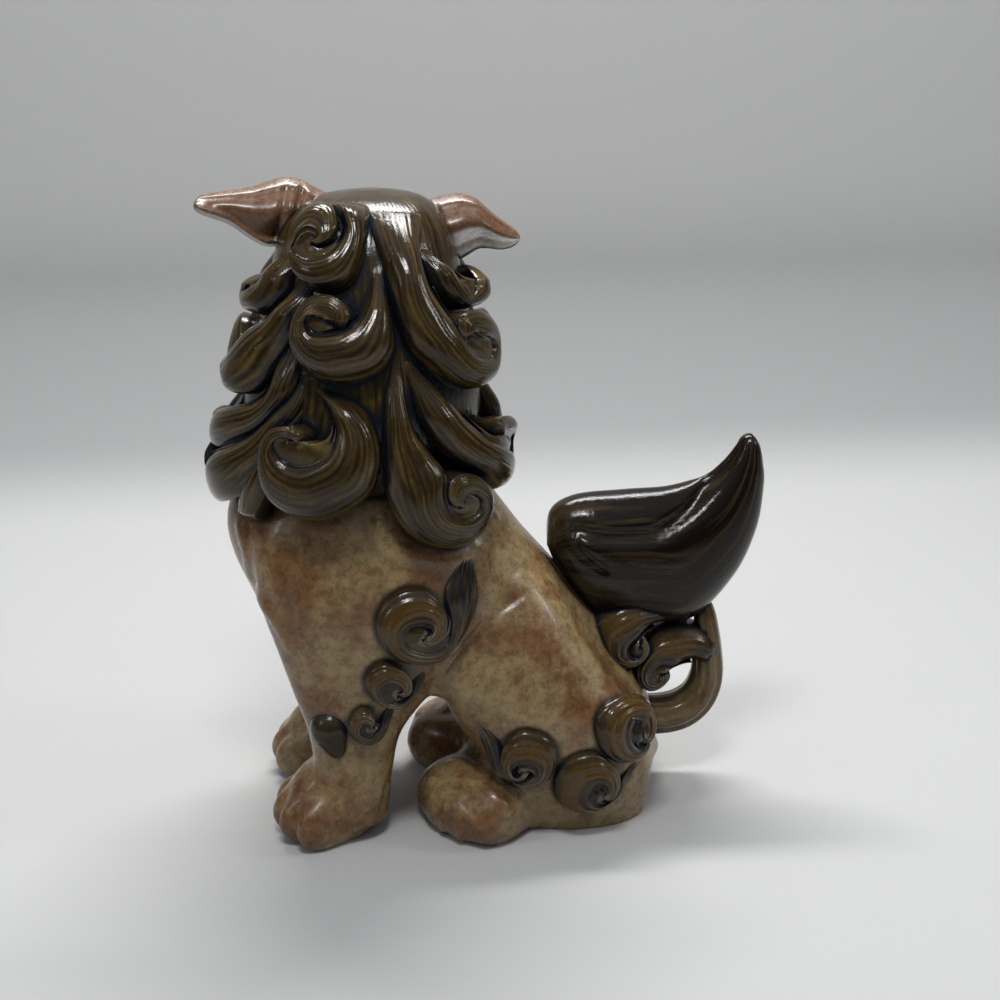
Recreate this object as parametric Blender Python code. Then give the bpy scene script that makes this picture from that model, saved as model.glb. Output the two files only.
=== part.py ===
"""Seated guardian lion dog, a shelf ornament of glazed stoneware.

The figure is put together as a potter does it: a pressed body, legs, haunches and feet,
a head with its ears and face, and locks, curls and tail parts that are rolled by hand and
luted on. Each of those pieces is an object here, and each is cut back to the pieces that
it sits on, with a thin joint of slip between them.

The chest looks along -X and the dog's left flank along -Y. The head is turned a quarter
turn to the dog's right, so the face looks along +Y. Lengths are in metres.
"""
import math
from dataclasses import dataclass
from typing import Callable

import bmesh
import bpy
from mathutils import Matrix, Vector
from mathutils.bvhtree import BVHTree

# Joints and facets
SLIP_JOINT = 0.0003
BODY_SIDES = 20
LIMB_SIDES = 14
TAIL_SIDES = 9
EAR_SIDES = 12
FLAT_FACET = math.radians(1.3)
SHARP_EDGE = math.radians(40.0)
STEPS_PER_TURN = 10
LEAD_STEPS = 4

# Where the figure stands, before it is centred
FLOOR = 0.0
HEAD_X = -0.0410
HEAD_TILT = math.radians(5.5)
HEAD_PIVOT_HEIGHT = 0.1500

# Feet
FOREPAW_LENGTH = 0.0340
FOREPAW_WIDTH = 0.0270
FOREPAW_HEIGHT = 0.0270
FOREPAW_X = -0.0570
FOREPAW_Y = 0.0205
FOREPAW_TURN = math.radians(16.0)
HIND_FOOT_LENGTH = 0.0500
HIND_FOOT_WIDTH = 0.0355
HIND_FOOT_HEIGHT = 0.0270
HIND_FOOT_X = -0.0045
HIND_FOOT_Y = 0.0178
HIND_FOOT_TURN = math.radians(38.0)
TOES = 4
TOE_ARC = math.radians(40.0)
TOE_GROOVE = 0.14
PAW_SQUARENESS = 3.2
PAW_BACK_STEPS = 7
# Sections of a foot from the sole up: shares of its height, of its spread and of its length set back
PAW_SECTIONS = ((0.0, 0.95, 0.0), (0.16, 1.0, 0.0), (0.42, 0.97, 0.01), (0.66, 0.86, 0.05),
                (0.85, 0.66, 0.10), (0.96, 0.40, 0.14), (1.0, 0.12, 0.16))

# Face, placed from the middle of the upper lip
MUZZLE_WIDTH = 0.0400
MUZZLE_HEIGHT = 0.0230
MUZZLE_DEPTH = 0.0320
MUZZLE_CENTRE_HEIGHT = 0.1490
MUZZLE_Y = 0.0455
JAW_WIDTH = 0.0320
JAW_HEIGHT = 0.0110
JAW_DEPTH = 0.0300
JAW_DROP = 0.0170
JAW_SETBACK = 0.0030
NOSE_WIDTH = 0.0170
NOSE_HEIGHT = 0.0100
NOSE_DEPTH = 0.0070
NOSE_SEAT = 0.0020
EYE_RADIUS = 0.0062
EYE_SPREAD = 0.0140
EYE_RISE = 0.0165
EYE_SETBACK = 0.0190
BROW_RADIUS = 0.0038
BROW_OVERHANG = 0.0015
BROW_START = math.radians(215.0)
BROW_ARC = math.radians(200.0)
BROW_STEPS = 9

# Ears: root, middle and tip, half height and thickness
EAR_LEFT_LINE = (Vector((-0.0500, 0.0030, 0.1880)), Vector((-0.0670, 0.0020, 0.1905)),
                 Vector((-0.0880, 0.0010, 0.1940)))
EAR_LEFT_HALF_HEIGHT = 0.0106
EAR_LEFT_THICKNESS = 0.0110
EAR_RIGHT_LINE = (Vector((-0.0260, 0.0030, 0.1850)), Vector((-0.0110, 0.0020, 0.1865)),
                  Vector((0.0055, 0.0010, 0.1830)))
EAR_RIGHT_HALF_HEIGHT = 0.0096
EAR_RIGHT_THICKNESS = 0.0100

# Tail
PLUME_THICKNESS = 0.0280
RING_TUBE = 0.0125
RING_THINNING = 0.20
TAIL_CURL_THICKNESS = 0.0240

# Curls
GROOVE = 0.0018
LOCK_ROOT_SHARE = 0.45
LOCK_EYE_SHARE = 0.55
LOCK_EYE_REACH = 0.30
LOCK_SEAT_DEPTH = 0.0050
FLANK_VIEW = 0.2000
FLANK_NEAR = 0.0300
FLANK_BLUR = 0.0030


@dataclass(frozen=True)
class Finish:
    """The look of one glaze: colour, roughness and how metallic it is."""

    name: str
    colour: tuple[float, float, float]
    roughness: float
    metallic: float = 0.0


BODY_GLAZE = Finish("body_glaze", (0.30, 0.17, 0.09), 0.38)
MANE_GLAZE = Finish("mane_glaze", (0.075, 0.048, 0.018), 0.14)
CURL_GLAZE = Finish("curl_glaze", (0.17, 0.145, 0.095), 0.18)
PLUME_GLAZE = Finish("plume_glaze", (0.035, 0.022, 0.014), 0.12)
EAR_GLAZE = Finish("ear_glaze", (0.36, 0.19, 0.13), 0.30)
EYE_GLAZE = Finish("eye_glaze", (0.010, 0.009, 0.009), 0.08)


@dataclass(frozen=True)
class Level:
    """One level section of an upright form."""

    height: float
    front: float
    back: float
    near: float
    far: float


TORSO = (
    Level(0.000, -0.004, 0.047, -0.029, 0.029),
    Level(0.008, -0.008, 0.050, -0.032, 0.032),
    Level(0.020, -0.012, 0.051, -0.033, 0.033),
    Level(0.031, -0.014, 0.049, -0.031, 0.031),
    Level(0.041, -0.022, 0.044, -0.028, 0.028),
    Level(0.047, -0.045, 0.041, -0.027, 0.027),
    Level(0.053, -0.064, 0.037, -0.027, 0.027),
    Level(0.065, -0.073, 0.029, -0.028, 0.028),
    Level(0.077, -0.078, 0.019, -0.030, 0.030),
    Level(0.090, -0.083, 0.008, -0.031, 0.031),
    Level(0.101, -0.084, 0.000, -0.030, 0.030),
    Level(0.111, -0.079, -0.007, -0.026, 0.026),
    Level(0.118, -0.068, -0.018, -0.018, 0.018),
)

FORELEG = (
    Level(0.006, -0.059, -0.039, 0.013, 0.031),
    Level(0.022, -0.061, -0.037, 0.012, 0.032),
    Level(0.037, -0.063, -0.033, 0.011, 0.033),
    Level(0.051, -0.067, -0.023, 0.010, 0.035),
    Level(0.065, -0.071, -0.017, 0.009, 0.036),
    Level(0.079, -0.075, -0.012, 0.008, 0.036),
    Level(0.092, -0.076, -0.009, 0.008, 0.034),
    Level(0.104, -0.073, -0.011, 0.008, 0.030),
    Level(0.113, -0.064, -0.020, 0.009, 0.024),
    Level(0.117, -0.052, -0.032, 0.011, 0.018),
)

HAUNCH = (
    Level(0.000, 0.002, 0.044, 0.006, 0.032),
    Level(0.012, -0.003, 0.045, 0.006, 0.036),
    Level(0.026, -0.010, 0.044, 0.006, 0.038),
    Level(0.039, -0.018, 0.041, 0.006, 0.039),
    Level(0.052, -0.022, 0.030, 0.006, 0.037),
    Level(0.064, -0.019, 0.022, 0.006, 0.033),
    Level(0.074, -0.014, 0.016, 0.006, 0.028),
    Level(0.081, -0.008, 0.010, 0.008, 0.023),
    Level(0.085, -0.002, 0.004, 0.011, 0.017),
)

# The mane's cushion, from the crown down: the locks lie on it
MANE = (
    Level(0.1980, -0.042, -0.034, 0.000, 0.006),
    Level(0.1960, -0.054, -0.023, -0.010, 0.014),
    Level(0.1900, -0.063, -0.016, -0.019, 0.023),
    Level(0.1780, -0.067, -0.012, -0.026, 0.029),
    Level(0.1600, -0.072, -0.009, -0.031, 0.031),
    Level(0.1400, -0.077, -0.006, -0.035, 0.032),
    Level(0.1220, -0.081, -0.004, -0.037, 0.034),
    Level(0.1090, -0.077, -0.008, -0.034, 0.031),
    Level(0.1010, -0.066, -0.018, -0.025, 0.023),
)

PLUME = (
    (Vector((0.0150, 0, 0.0850)), Vector((0.0185, 0, 0.0760)), 0.30),
    (Vector((0.0160, 0, 0.0960)), Vector((0.0240, 0, 0.0660)), 0.75),
    (Vector((0.0240, 0, 0.1010)), Vector((0.0330, 0, 0.0600)), 0.95),
    (Vector((0.0400, 0, 0.1020)), Vector((0.0460, 0, 0.0580)), 1.00),
    (Vector((0.0540, 0, 0.1025)), Vector((0.0620, 0, 0.0570)), 0.95),
    (Vector((0.0650, 0, 0.1055)), Vector((0.0760, 0, 0.0710)), 0.75),
    (Vector((0.0710, 0, 0.1100)), Vector((0.0830, 0, 0.0870)), 0.55),
    (Vector((0.0755, 0, 0.1150)), Vector((0.0845, 0, 0.1010)), 0.35),
    (Vector((0.0780, 0, 0.1175)), Vector((0.0815, 0, 0.1135)), 0.12),
)

RING_PATH = (
    Vector((0.0430, 0, 0.0180)),
    Vector((0.0530, 0, 0.0215)),
    Vector((0.0630, 0, 0.0235)),
    Vector((0.0688, 0, 0.0320)),
    Vector((0.0697, 0, 0.0425)),
    Vector((0.0687, 0, 0.0535)),
    Vector((0.0665, 0, 0.0640)),
)


@dataclass(frozen=True)
class Lock:
    """A hand-rolled lock of hair that ends in a spiral curl.

    The root and the eye are places on the ground that the lock lies on. For the mane
    they are a bearing round the head and a height; on a flank they are x and z.
    """

    name: str
    root: tuple[float, float]
    eye: tuple[float, float]
    radius: float
    joins_at: float
    hand: int
    turns: float = 1.0
    leaves: float = -90.0
    relief: float = 1.0
    fullness: float = 1.25
    finish: Finish = MANE_GLAZE
    turn: float = 0.0


# Bearings are in degrees: 0 is the back of the head, 90 its right side, -90 its left
MANE_LOCKS = (
    Lock("lock_crown", (-22.0, 0.1955), (-37.0, 0.1850), 0.0120, 25.0, -1, 1.0, -60.0, 1.0, 1.6),
    Lock("lock_nape_upper", (4.0, 0.1830), (-24.0, 0.1660), 0.0190, 25.0, -1, 1.0, -85.0, 0.95, 1.75),
    Lock("lock_nape_lower", (-6.0, 0.1480), (-28.0, 0.1320), 0.0195, 30.0, -1, 1.0, -70.0, 0.95, 1.75),
    Lock("lock_right_upper", (17.0, 0.1880), (49.0, 0.1590), 0.0170, 185.0, 1, 1.0, -90.0, 0.95, 1.7),
    Lock("lock_right_ear", (38.0, 0.1860), (64.0, 0.1720), 0.0110, 190.0, 1, 0.95, -80.0, 1.0, 1.5),
    Lock("lock_right_middle", (24.0, 0.1520), (60.0, 0.1320), 0.0185, 195.0, 1, 1.0, -75.0, 1.0, 1.7),
    Lock("lock_right_lower", (8.0, 0.1600), (35.0, 0.1165), 0.0175, 190.0, 1, 1.0, -95.0, 0.9, 1.7),
    Lock("lock_left_ear", (-56.0, 0.1840), (-72.0, 0.1710), 0.0110, 0.0, -1, 0.85, -95.0, 1.1, 1.5),
    Lock("lock_left_upper", (-42.0, 0.1780), (-72.0, 0.1520), 0.0120, -5.0, -1, 0.85, -95.0, 1.1, 1.6),
    Lock("lock_left_middle", (-46.0, 0.1640), (-82.0, 0.1320), 0.0135, -5.0, -1, 0.85, -90.0, 1.2, 1.6),
    Lock("lock_left_lower", (-48.0, 0.1480), (-70.0, 0.1170), 0.0155, -5.0, -1, 0.85, -85.0, 1.1, 1.6),
    Lock("lock_cheek_right_upper", (98.0, 0.1820), (102.0, 0.1530), 0.0130, 10.0, -1, 0.95, -90.0),
    Lock("lock_cheek_right_lower", (86.0, 0.1460), (108.0, 0.1220), 0.0145, 185.0, 1, 0.95, -90.0),
    Lock("lock_cheek_left_upper", (-100.0, 0.1820), (-106.0, 0.1530), 0.0130, 170.0, 1, 0.95, -90.0),
    Lock("lock_cheek_left_lower", (-102.0, 0.1440), (-114.0, 0.1180), 0.0145, 0.0, -1, 0.95, -90.0),
    Lock("lock_beard_right", (146.0, 0.1340), (152.0, 0.1120), 0.0135, 185.0, 1, 0.95, -90.0),
    Lock("lock_beard_left", (-146.0, 0.1340), (-154.0, 0.1120), 0.0135, -5.0, -1, 0.95, -90.0),
)

FLANK_CURLS = (
    Lock("shoulder_curl_1", (-0.0130, 0.0980), (-0.0280, 0.0740), 0.0142, -10.0, -1, 1.3,
         -80.0, 0.80, 1.0, CURL_GLAZE),
    Lock("shoulder_curl_2", (-0.0230, 0.0620), (-0.0365, 0.0550), 0.0100, -25.0, -1, 1.1,
         -115.0, 0.80, 1.05, CURL_GLAZE),
    Lock("shoulder_curl_3", (-0.0365, 0.0480), (-0.0445, 0.0425), 0.0072, -25.0, -1, 1.0,
         -115.0, 0.80, 1.05, CURL_GLAZE),
    Lock("haunch_curl_1", (-0.0115, 0.0410), (0.0025, 0.0285), 0.0118, 200.0, 1, 1.15,
         -60.0, 0.75, 1.05, CURL_GLAZE),
    Lock("haunch_curl_2", (0.0330, 0.0260), (0.0240, 0.0150), 0.0138, 70.0, 1, 1.0,
         120.0, 0.85, 1.2, CURL_GLAZE),
    Lock("haunch_curl_3", (0.0420, 0.0360), (0.0330, 0.0270), 0.0125, 85.0, 1, 1.0,
         165.0, 0.85, 1.2, CURL_GLAZE, 18.0),
)

TAIL_CURLS = (
    Lock("tail_curl_upper", (0.0600, 0.0585), (0.0410, 0.0560), 0.0158, 80.0, 1, 1.05,
         165.0, 1.0, 1.25, CURL_GLAZE),
    Lock("tail_curl_lower", (0.0710, 0.0440), (0.0560, 0.0420), 0.0160, 75.0, 1, 0.42,
         115.0, 1.0, 1.0, CURL_GLAZE),
)

VENT_RADIUS = 0.0060
VENT_DEPTH = 0.0080
VENT_X = 0.0220

SHOULDER_BALL_RADIUS = 0.0062
SHOULDER_BALL_X = -0.0560
SHOULDER_BALL_Y = 0.0300
SHOULDER_BALL_HEIGHT = 0.0415


def oval(centre: Vector, across: Vector, along: Vector, sides: int, power: float = 2.2) -> list[Vector]:
    """One closed section: a rounded oval whose half axes are the two given vectors."""
    ring = []
    for step in range(sides):
        angle = math.tau * step / sides
        c, s = math.cos(angle), math.sin(angle)
        ring.append(centre
                    + across * math.copysign(abs(c) ** (2 / power), c)
                    + along * math.copysign(abs(s) ** (2 / power), s))
    return ring


def skin(rings: list[list[Vector]]) -> bmesh.types.BMesh:
    """Join sections of equal count into one closed body with poked end caps."""
    bm = bmesh.new()
    loops = [[bm.verts.new(point) for point in ring] for ring in rings]
    for first, second in zip(loops, loops[1:]):
        for index, vertex in enumerate(first):
            after = (index + 1) % len(first)
            bm.faces.new((vertex, first[after], second[after], second[index]))
    caps = [bm.faces.new(list(reversed(loops[0]))), bm.faces.new(loops[-1])]
    bmesh.ops.poke(bm, faces=caps)
    bmesh.ops.triangulate(bm, faces=bm.faces)
    if bm.calc_volume(signed=True) < 0:
        bmesh.ops.reverse_faces(bm, faces=bm.faces)
    return bm


def stand_flat(bm: bmesh.types.BMesh, height: float) -> bmesh.types.BMesh:
    """Cut a body off level at a height and close the cut."""
    geometry = bm.verts[:] + bm.edges[:] + bm.faces[:]
    cut = bmesh.ops.bisect_plane(bm, geom=geometry, dist=1e-7, plane_co=(0, 0, height),
                                 plane_no=(0, 0, -1), clear_outer=True)
    edges = [item for item in cut["geom_cut"] if isinstance(item, bmesh.types.BMEdge)]
    if edges:
        sole = bmesh.ops.contextual_create(bm, geom=edges)["faces"]
        bmesh.ops.triangulate(bm, faces=sole)
    return bm


def upright(levels: tuple[Level, ...], side: int, grow: float, sides: int) -> bmesh.types.BMesh:
    """Loft level sections into an upright form; side -1 is the left flank, 1 the right."""
    rings = []
    for index, level in enumerate(levels):
        height = level.height
        if index == 0:
            height -= math.copysign(grow, levels[1].height - height)
        if index == len(levels) - 1:
            height += math.copysign(grow, height - levels[-2].height)
        centre = Vector(((level.front + level.back) / 2, side * (level.near + level.far) / 2, height))
        half_length = (level.back - level.front) / 2 + grow
        half_width = abs(level.far - level.near) / 2 + grow
        rings.append(oval(centre, Vector((half_length, 0, 0)), Vector((0, half_width, 0)), sides))
    return skin(rings)


def paw(length: float, width: float, height: float, x: float, y: float, turn: float,
        side: int, grow: float) -> bmesh.types.BMesh:
    """A foot with rounded toes along its front, turned outward from the chest's line."""
    reach = TOES * TOE_ARC / 2
    front = [reach - step * TOE_ARC / 4 for step in range(4 * TOES + 1)]
    behind_arc = (math.tau - 2 * reach) / (PAW_BACK_STEPS + 1)
    behind = [-reach - step * behind_arc for step in range(1, PAW_BACK_STEPS + 1)]
    heading = math.pi - side * turn
    rings = []
    for share, spread, setback in PAW_SECTIONS:
        ring = []
        for angle in front + behind:
            lobe = 1.0
            if abs(angle) <= reach:
                ridge = abs(math.sin(math.pi * (angle + reach) / TOE_ARC))
                lobe = 1.0 - TOE_GROOVE * (1.0 - ridge ** 0.7)
            c, s = math.cos(angle), math.sin(angle)
            square = (abs(c) ** PAW_SQUARENESS + abs(s) ** PAW_SQUARENESS) ** (-1 / PAW_SQUARENESS)
            along = (length / 2 * spread * lobe * square + grow) * c - setback * length
            across = (width / 2 * spread * lobe * square + grow) * s
            ring.append(Vector((x + along * math.cos(heading) - across * math.sin(heading),
                                side * y + along * math.sin(heading) + across * math.cos(heading),
                                share * height + (grow if share == 1.0 else 0.0))))
        rings.append(ring)
    if grow:
        rings.insert(0, [point - Vector((0, 0, grow)) for point in rings[0]])
    return skin(rings)


def plume(grow: float) -> bmesh.types.BMesh:
    """The flame-shaped plume, from its root on the back to its curled tip."""
    rings = []
    for upper, lower, share in PLUME:
        half = (upper - lower) / 2
        half_length = half.length + grow
        depth = Vector((0, share * PLUME_THICKNESS / 2 + grow, 0))
        rings.append(oval((upper + lower) / 2, half.normalized() * half_length, depth, LIMB_SIDES, 1.9))
    return skin(rings)


def smooth_path(points: tuple[Vector, ...], per_span: int) -> list[Vector]:
    """Read points off a smooth curve through the given ones."""
    path = []
    last = len(points) - 1
    for index in range(last):
        before, start = points[max(index - 1, 0)], points[index]
        end, after = points[index + 1], points[min(index + 2, last)]
        for step in range(per_span):
            t = step / per_span
            path.append(0.5 * (2 * start + (end - before) * t
                               + (2 * before - 5 * start + 4 * end - after) * t ** 2
                               + (3 * start - before - 3 * end + after) * t ** 3))
    path.append(points[-1].copy())
    return path


def tail_ring(grow: float) -> bmesh.types.BMesh:
    """The tube that leaves the rump, turns up round the hole and ends in a leaf tip."""
    path = smooth_path(RING_PATH, 2)
    rings = []
    for index, point in enumerate(path):
        ahead = path[min(index + 1, len(path) - 1)] - path[max(index - 1, 0)]
        across = Vector((-ahead.z, 0, ahead.x)).normalized()
        share = index / (len(path) - 1)
        taper = 1.0 - RING_THINNING * share - 0.55 * max(0.0, (share - 0.7) / 0.3) ** 1.5
        radius = RING_TUBE / 2 * taper + grow
        rings.append(oval(point, across * radius, Vector((0, radius * 1.15, 0)), TAIL_SIDES, 2.0))
    return skin(rings)


def ear(line: tuple[Vector, ...], half_height: float, thickness: float, grow: float) -> bmesh.types.BMesh:
    """A cupped leaf-shaped ear: its back bulges to -Y and its rims curl to +Y."""
    path = smooth_path(line, 4)
    rings = []
    for index, point in enumerate(path):
        share = index / (len(path) - 1)
        ahead = path[min(index + 1, len(path) - 1)] - path[max(index - 1, 0)]
        upward = Vector((-ahead.z, 0, ahead.x)).normalized()
        upward *= math.copysign(1.0, upward.z)
        leaf = 0.16 + 0.84 * math.sin(math.pi * (0.30 + 0.70 * share)) ** 0.8
        flap = leaf * half_height
        wall = thickness / 2 * (0.45 + 0.55 * leaf)
        ring = []
        for step in range(EAR_SIDES):
            angle = math.tau * step / EAR_SIDES
            c, s = math.cos(angle), math.sin(angle)
            cup = 1.6 * wall * c * c
            ring.append(point + upward * ((flap + grow) * c) + Vector((0, (wall + grow) * s + cup, 0)))
        rings.append(ring)
    return skin(rings)


def head_turn() -> Matrix:
    """The tilt of the face: the dog's left ear is the higher one."""
    pivot = Matrix.Translation((HEAD_X, 0, HEAD_PIVOT_HEIGHT))
    return pivot @ Matrix.Rotation(HEAD_TILT, 4, "Y") @ pivot.inverted()


def blob(centre: Vector, half: Vector, grow: float, across: int = 14, down: int = 8,
         power: float = 2.2) -> bmesh.types.BMesh:
    """A rounded lump with level sections, tilted with the face."""
    rings = []
    for step in range(down):
        angle = math.pi * (step + 0.5) / down - math.pi / 2
        level = math.sin(angle)
        spread = math.cos(angle)
        middle = centre + Vector((0, 0, (half.z + grow) * level))
        rings.append(oval(middle, Vector(((half.x + grow) * spread, 0, 0)),
                          Vector((0, (half.y + grow) * spread, 0)), across, power))
    bm = skin(rings)
    bm.transform(head_turn())
    return bm


def muzzle(grow: float) -> bmesh.types.BMesh:
    """The broad upper lip with its two cushions, square to the front."""
    half = Vector((MUZZLE_WIDTH, MUZZLE_DEPTH, MUZZLE_HEIGHT)) / 2
    centre = Vector((HEAD_X, MUZZLE_Y - half.y, MUZZLE_CENTRE_HEIGHT))
    return blob(centre, half, grow, 18, 8, 3.0)


def lower_jaw(grow: float) -> bmesh.types.BMesh:
    """The chin below the closed lip."""
    half = Vector((JAW_WIDTH, JAW_DEPTH, JAW_HEIGHT)) / 2
    centre = Vector((HEAD_X, MUZZLE_Y - half.y - JAW_SETBACK, MUZZLE_CENTRE_HEIGHT - JAW_DROP))
    return blob(centre, half, grow, 14, 6, 2.8)


def nose(grow: float) -> bmesh.types.BMesh:
    """The flat broad nose on top of the lip."""
    half = Vector((NOSE_WIDTH, NOSE_DEPTH, NOSE_HEIGHT)) / 2
    lip_top = MUZZLE_CENTRE_HEIGHT + MUZZLE_HEIGHT / 2
    centre = Vector((HEAD_X, MUZZLE_Y - NOSE_SEAT, lip_top - NOSE_SEAT))
    return blob(centre, half, grow, 12, 6, 2.4)


def eye_centre(side: int) -> Vector:
    """The middle of an eye, before the face is tilted."""
    return Vector((HEAD_X + side * EYE_SPREAD, MUZZLE_Y - EYE_SETBACK, MUZZLE_CENTRE_HEIGHT + EYE_RISE))


def eyeball(side: int, grow: float) -> bmesh.types.BMesh:
    """A bulging round eye."""
    centre = eye_centre(side)
    half = Vector((EYE_RADIUS, EYE_RADIUS, EYE_RADIUS))
    return blob(centre, half, grow, 12, 8, 2.0)


def brow(side: int, grow: float) -> bmesh.types.BMesh:
    """A thick brow that arches over the eye from the bridge of the nose."""
    middle = eye_centre(side) + Vector((0, BROW_OVERHANG, 0))
    reach = EYE_RADIUS + BROW_RADIUS * 0.8
    rings = []
    for step in range(BROW_STEPS):
        share = step / (BROW_STEPS - 1)
        angle = BROW_START - BROW_ARC * share
        radial = Vector((side * math.cos(angle), 0, math.sin(angle)))
        thick = BROW_RADIUS * (0.45 + 0.55 * math.sin(math.pi * (0.12 + 0.76 * share))) + grow
        rings.append(oval(middle + radial * reach, radial * thick, Vector((0, thick * 1.2, 0)), 8, 2.0))
    bm = skin(rings)
    bm.transform(head_turn())
    return bm


class ManeGround:
    """The surface of the mane's cushion, unrolled from one bearing and height.

    Distances along it are metres: u runs to the right as seen from outside, v upward.
    """

    def __init__(self, place: tuple[float, float]) -> None:
        self.bearing = math.radians(place[0])
        self.drops = [0.0]
        for upper, lower in zip(MANE, MANE[1:]):
            run = (lower.back - lower.front - upper.back + upper.front) / 2
            self.drops.append(self.drops[-1] + math.hypot(upper.height - lower.height, run))
        self.drop = self.drop_at(place[1])
        level = self.level(self.drop)
        self.radius = (level.back - level.front + level.far - level.near) / 4

    def drop_at(self, height: float) -> float:
        """Distance down the cushion from the crown to a height."""
        for index in range(len(MANE) - 1):
            upper, lower = MANE[index], MANE[index + 1]
            if height >= lower.height or index == len(MANE) - 2:
                share = (upper.height - height) / (upper.height - lower.height)
                return self.drops[index] + share * (self.drops[index + 1] - self.drops[index])
        return self.drops[-1]

    def level(self, drop: float) -> Level:
        """The cushion's section at a distance down from the crown."""
        index = 0
        while index < len(MANE) - 2 and drop > self.drops[index + 1]:
            index += 1
        upper, lower = MANE[index], MANE[index + 1]
        share = (drop - self.drops[index]) / (self.drops[index + 1] - self.drops[index])
        mix = [a + share * (b - a) for a, b in zip(
            (upper.height, upper.front, upper.back, upper.near, upper.far),
            (lower.height, lower.front, lower.back, lower.near, lower.far))]
        return Level(*mix)

    def point(self, u: float, v: float) -> Vector:
        """The place u to the right and v up from the start."""
        level = self.level(self.drop - v)
        angle = self.bearing + u / self.radius
        centre_x, centre_y = (level.front + level.back) / 2, (level.near + level.far) / 2
        return Vector((centre_x + (level.back - level.front) / 2 * math.sin(angle),
                       centre_y - (level.far - level.near) / 2 * math.cos(angle), level.height))

    def normal(self, u: float, v: float) -> Vector:
        """The outward direction there."""
        step = 0.004
        right = self.point(u + step, v) - self.point(u - step, v)
        up = self.point(u, v + step) - self.point(u, v - step)
        return right.cross(up).normalized()

    def offset(self, place: tuple[float, float]) -> tuple[float, float]:
        """Where another bearing and height lie from the start."""
        turn = math.radians(place[0]) - self.bearing
        return turn * self.radius, self.drop - self.drop_at(place[1])


class FlankGround:
    """The flank as seen square on, or turned toward the rump by an angle.

    Distances are metres: u runs to the rear and v upward.
    """

    def __init__(self, lock: Lock, side: int, hosts: list[bmesh.types.BMesh]) -> None:
        self.place = lock.eye
        self.side = side
        turn = math.radians(lock.turn)
        self.along = Vector((math.cos(turn), -side * math.sin(turn), 0))
        self.out = Vector((math.sin(turn), side * math.cos(turn), 0))
        self.trees = [BVHTree.FromBMesh(host) for host in hosts]

    def base(self, u: float, v: float) -> Vector:
        """The place in the middle plane that is seen there."""
        return Vector((self.place[0], 0, self.place[1] + v)) + self.along * u

    def reach(self, base: Vector) -> float:
        """How far out the flank lies from a place in the middle plane."""
        hits = [tree.ray_cast(base + self.out * FLANK_VIEW, -self.out)[0] for tree in self.trees]
        hits = [hit for hit in hits if hit is not None]
        if not hits:
            hits = [tree.find_nearest(base + self.out * FLANK_NEAR)[0] for tree in self.trees]
        return max((hit - base).dot(self.out) for hit in hits)

    def point(self, u: float, v: float) -> Vector:
        """The point of the flank there, evened out over a few millimetres."""
        around = ((0, 0), (FLANK_BLUR, 0), (-FLANK_BLUR, 0), (0, FLANK_BLUR), (0, -FLANK_BLUR))
        reaches = [self.reach(self.base(u + du, v + dv)) for du, dv in around]
        return self.base(u, v) + self.out * (sum(reaches) / len(reaches))

    def normal(self, u: float, v: float) -> Vector:
        """Straight out from the flank."""
        return self.out

    def offset(self, place: tuple[float, float]) -> tuple[float, float]:
        """Where another place lies from the eye."""
        return place[0] - self.place[0], place[1] - self.place[1]


def lock_course(lock: Lock, root: tuple[float, float]) -> list[tuple[Vector, float, float]]:
    """The line of a lock in its own plane, with its inner and outer half widths.

    The strand leaves its root, sweeps into the curl and winds in to the eye at (0, 0).
    """
    span = lock.turns * math.tau
    tightest = LOCK_EYE_REACH + (1 + LOCK_EYE_SHARE) * lock.turns
    width = (lock.radius - lock.turns * GROOVE) / (1 + tightest)
    pitch = (1 + LOCK_EYE_SHARE) * width + GROOVE
    eye_reach = LOCK_EYE_REACH * width
    reach = eye_reach + pitch * lock.turns
    start = math.radians(lock.joins_at)
    join = Vector((math.cos(start), math.sin(start))) * reach
    sweep = Vector((-math.sin(start), math.cos(start))) * lock.hand
    root_point = Vector(root)
    away = Vector((math.cos(math.radians(lock.leaves)), math.sin(math.radians(lock.leaves))))
    pull = (join - root_point).length * 0.4
    points = []
    for step in range(LEAD_STEPS):
        t = step / LEAD_STEPS
        points.append((1 - t) ** 3 * root_point + 3 * (1 - t) ** 2 * t * (root_point + away * pull)
                      + 3 * (1 - t) * t ** 2 * (join - sweep * pull) + t ** 3 * join)
    winds = max(4, round(lock.turns * STEPS_PER_TURN))
    for step in range(winds + 1):
        turned = span * step / winds
        angle = start + lock.hand * turned
        radius = eye_reach + pitch * (span - turned) / math.tau
        points.append(Vector((math.cos(angle), math.sin(angle))) * radius)
    course = []
    last = len(points) - 1
    for index, point in enumerate(points):
        share = index / last
        lead = min(1.0, index / LEAD_STEPS)
        wound = max(0.0, (index - LEAD_STEPS) / (last - LEAD_STEPS))
        swell = LOCK_ROOT_SHARE + (1 - LOCK_ROOT_SHARE) * math.sin(math.pi / 2 * lead)
        swell *= 1 - (1 - LOCK_EYE_SHARE) * wound ** 1.5
        inner = width * swell
        if index >= LEAD_STEPS:
            inner = min(inner, 0.85 * point.length)
        outer = width * swell * (1 + (lock.fullness - 1) * math.sin(math.pi * share) ** 2)
        course.append((point, inner, outer))
    return course


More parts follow.
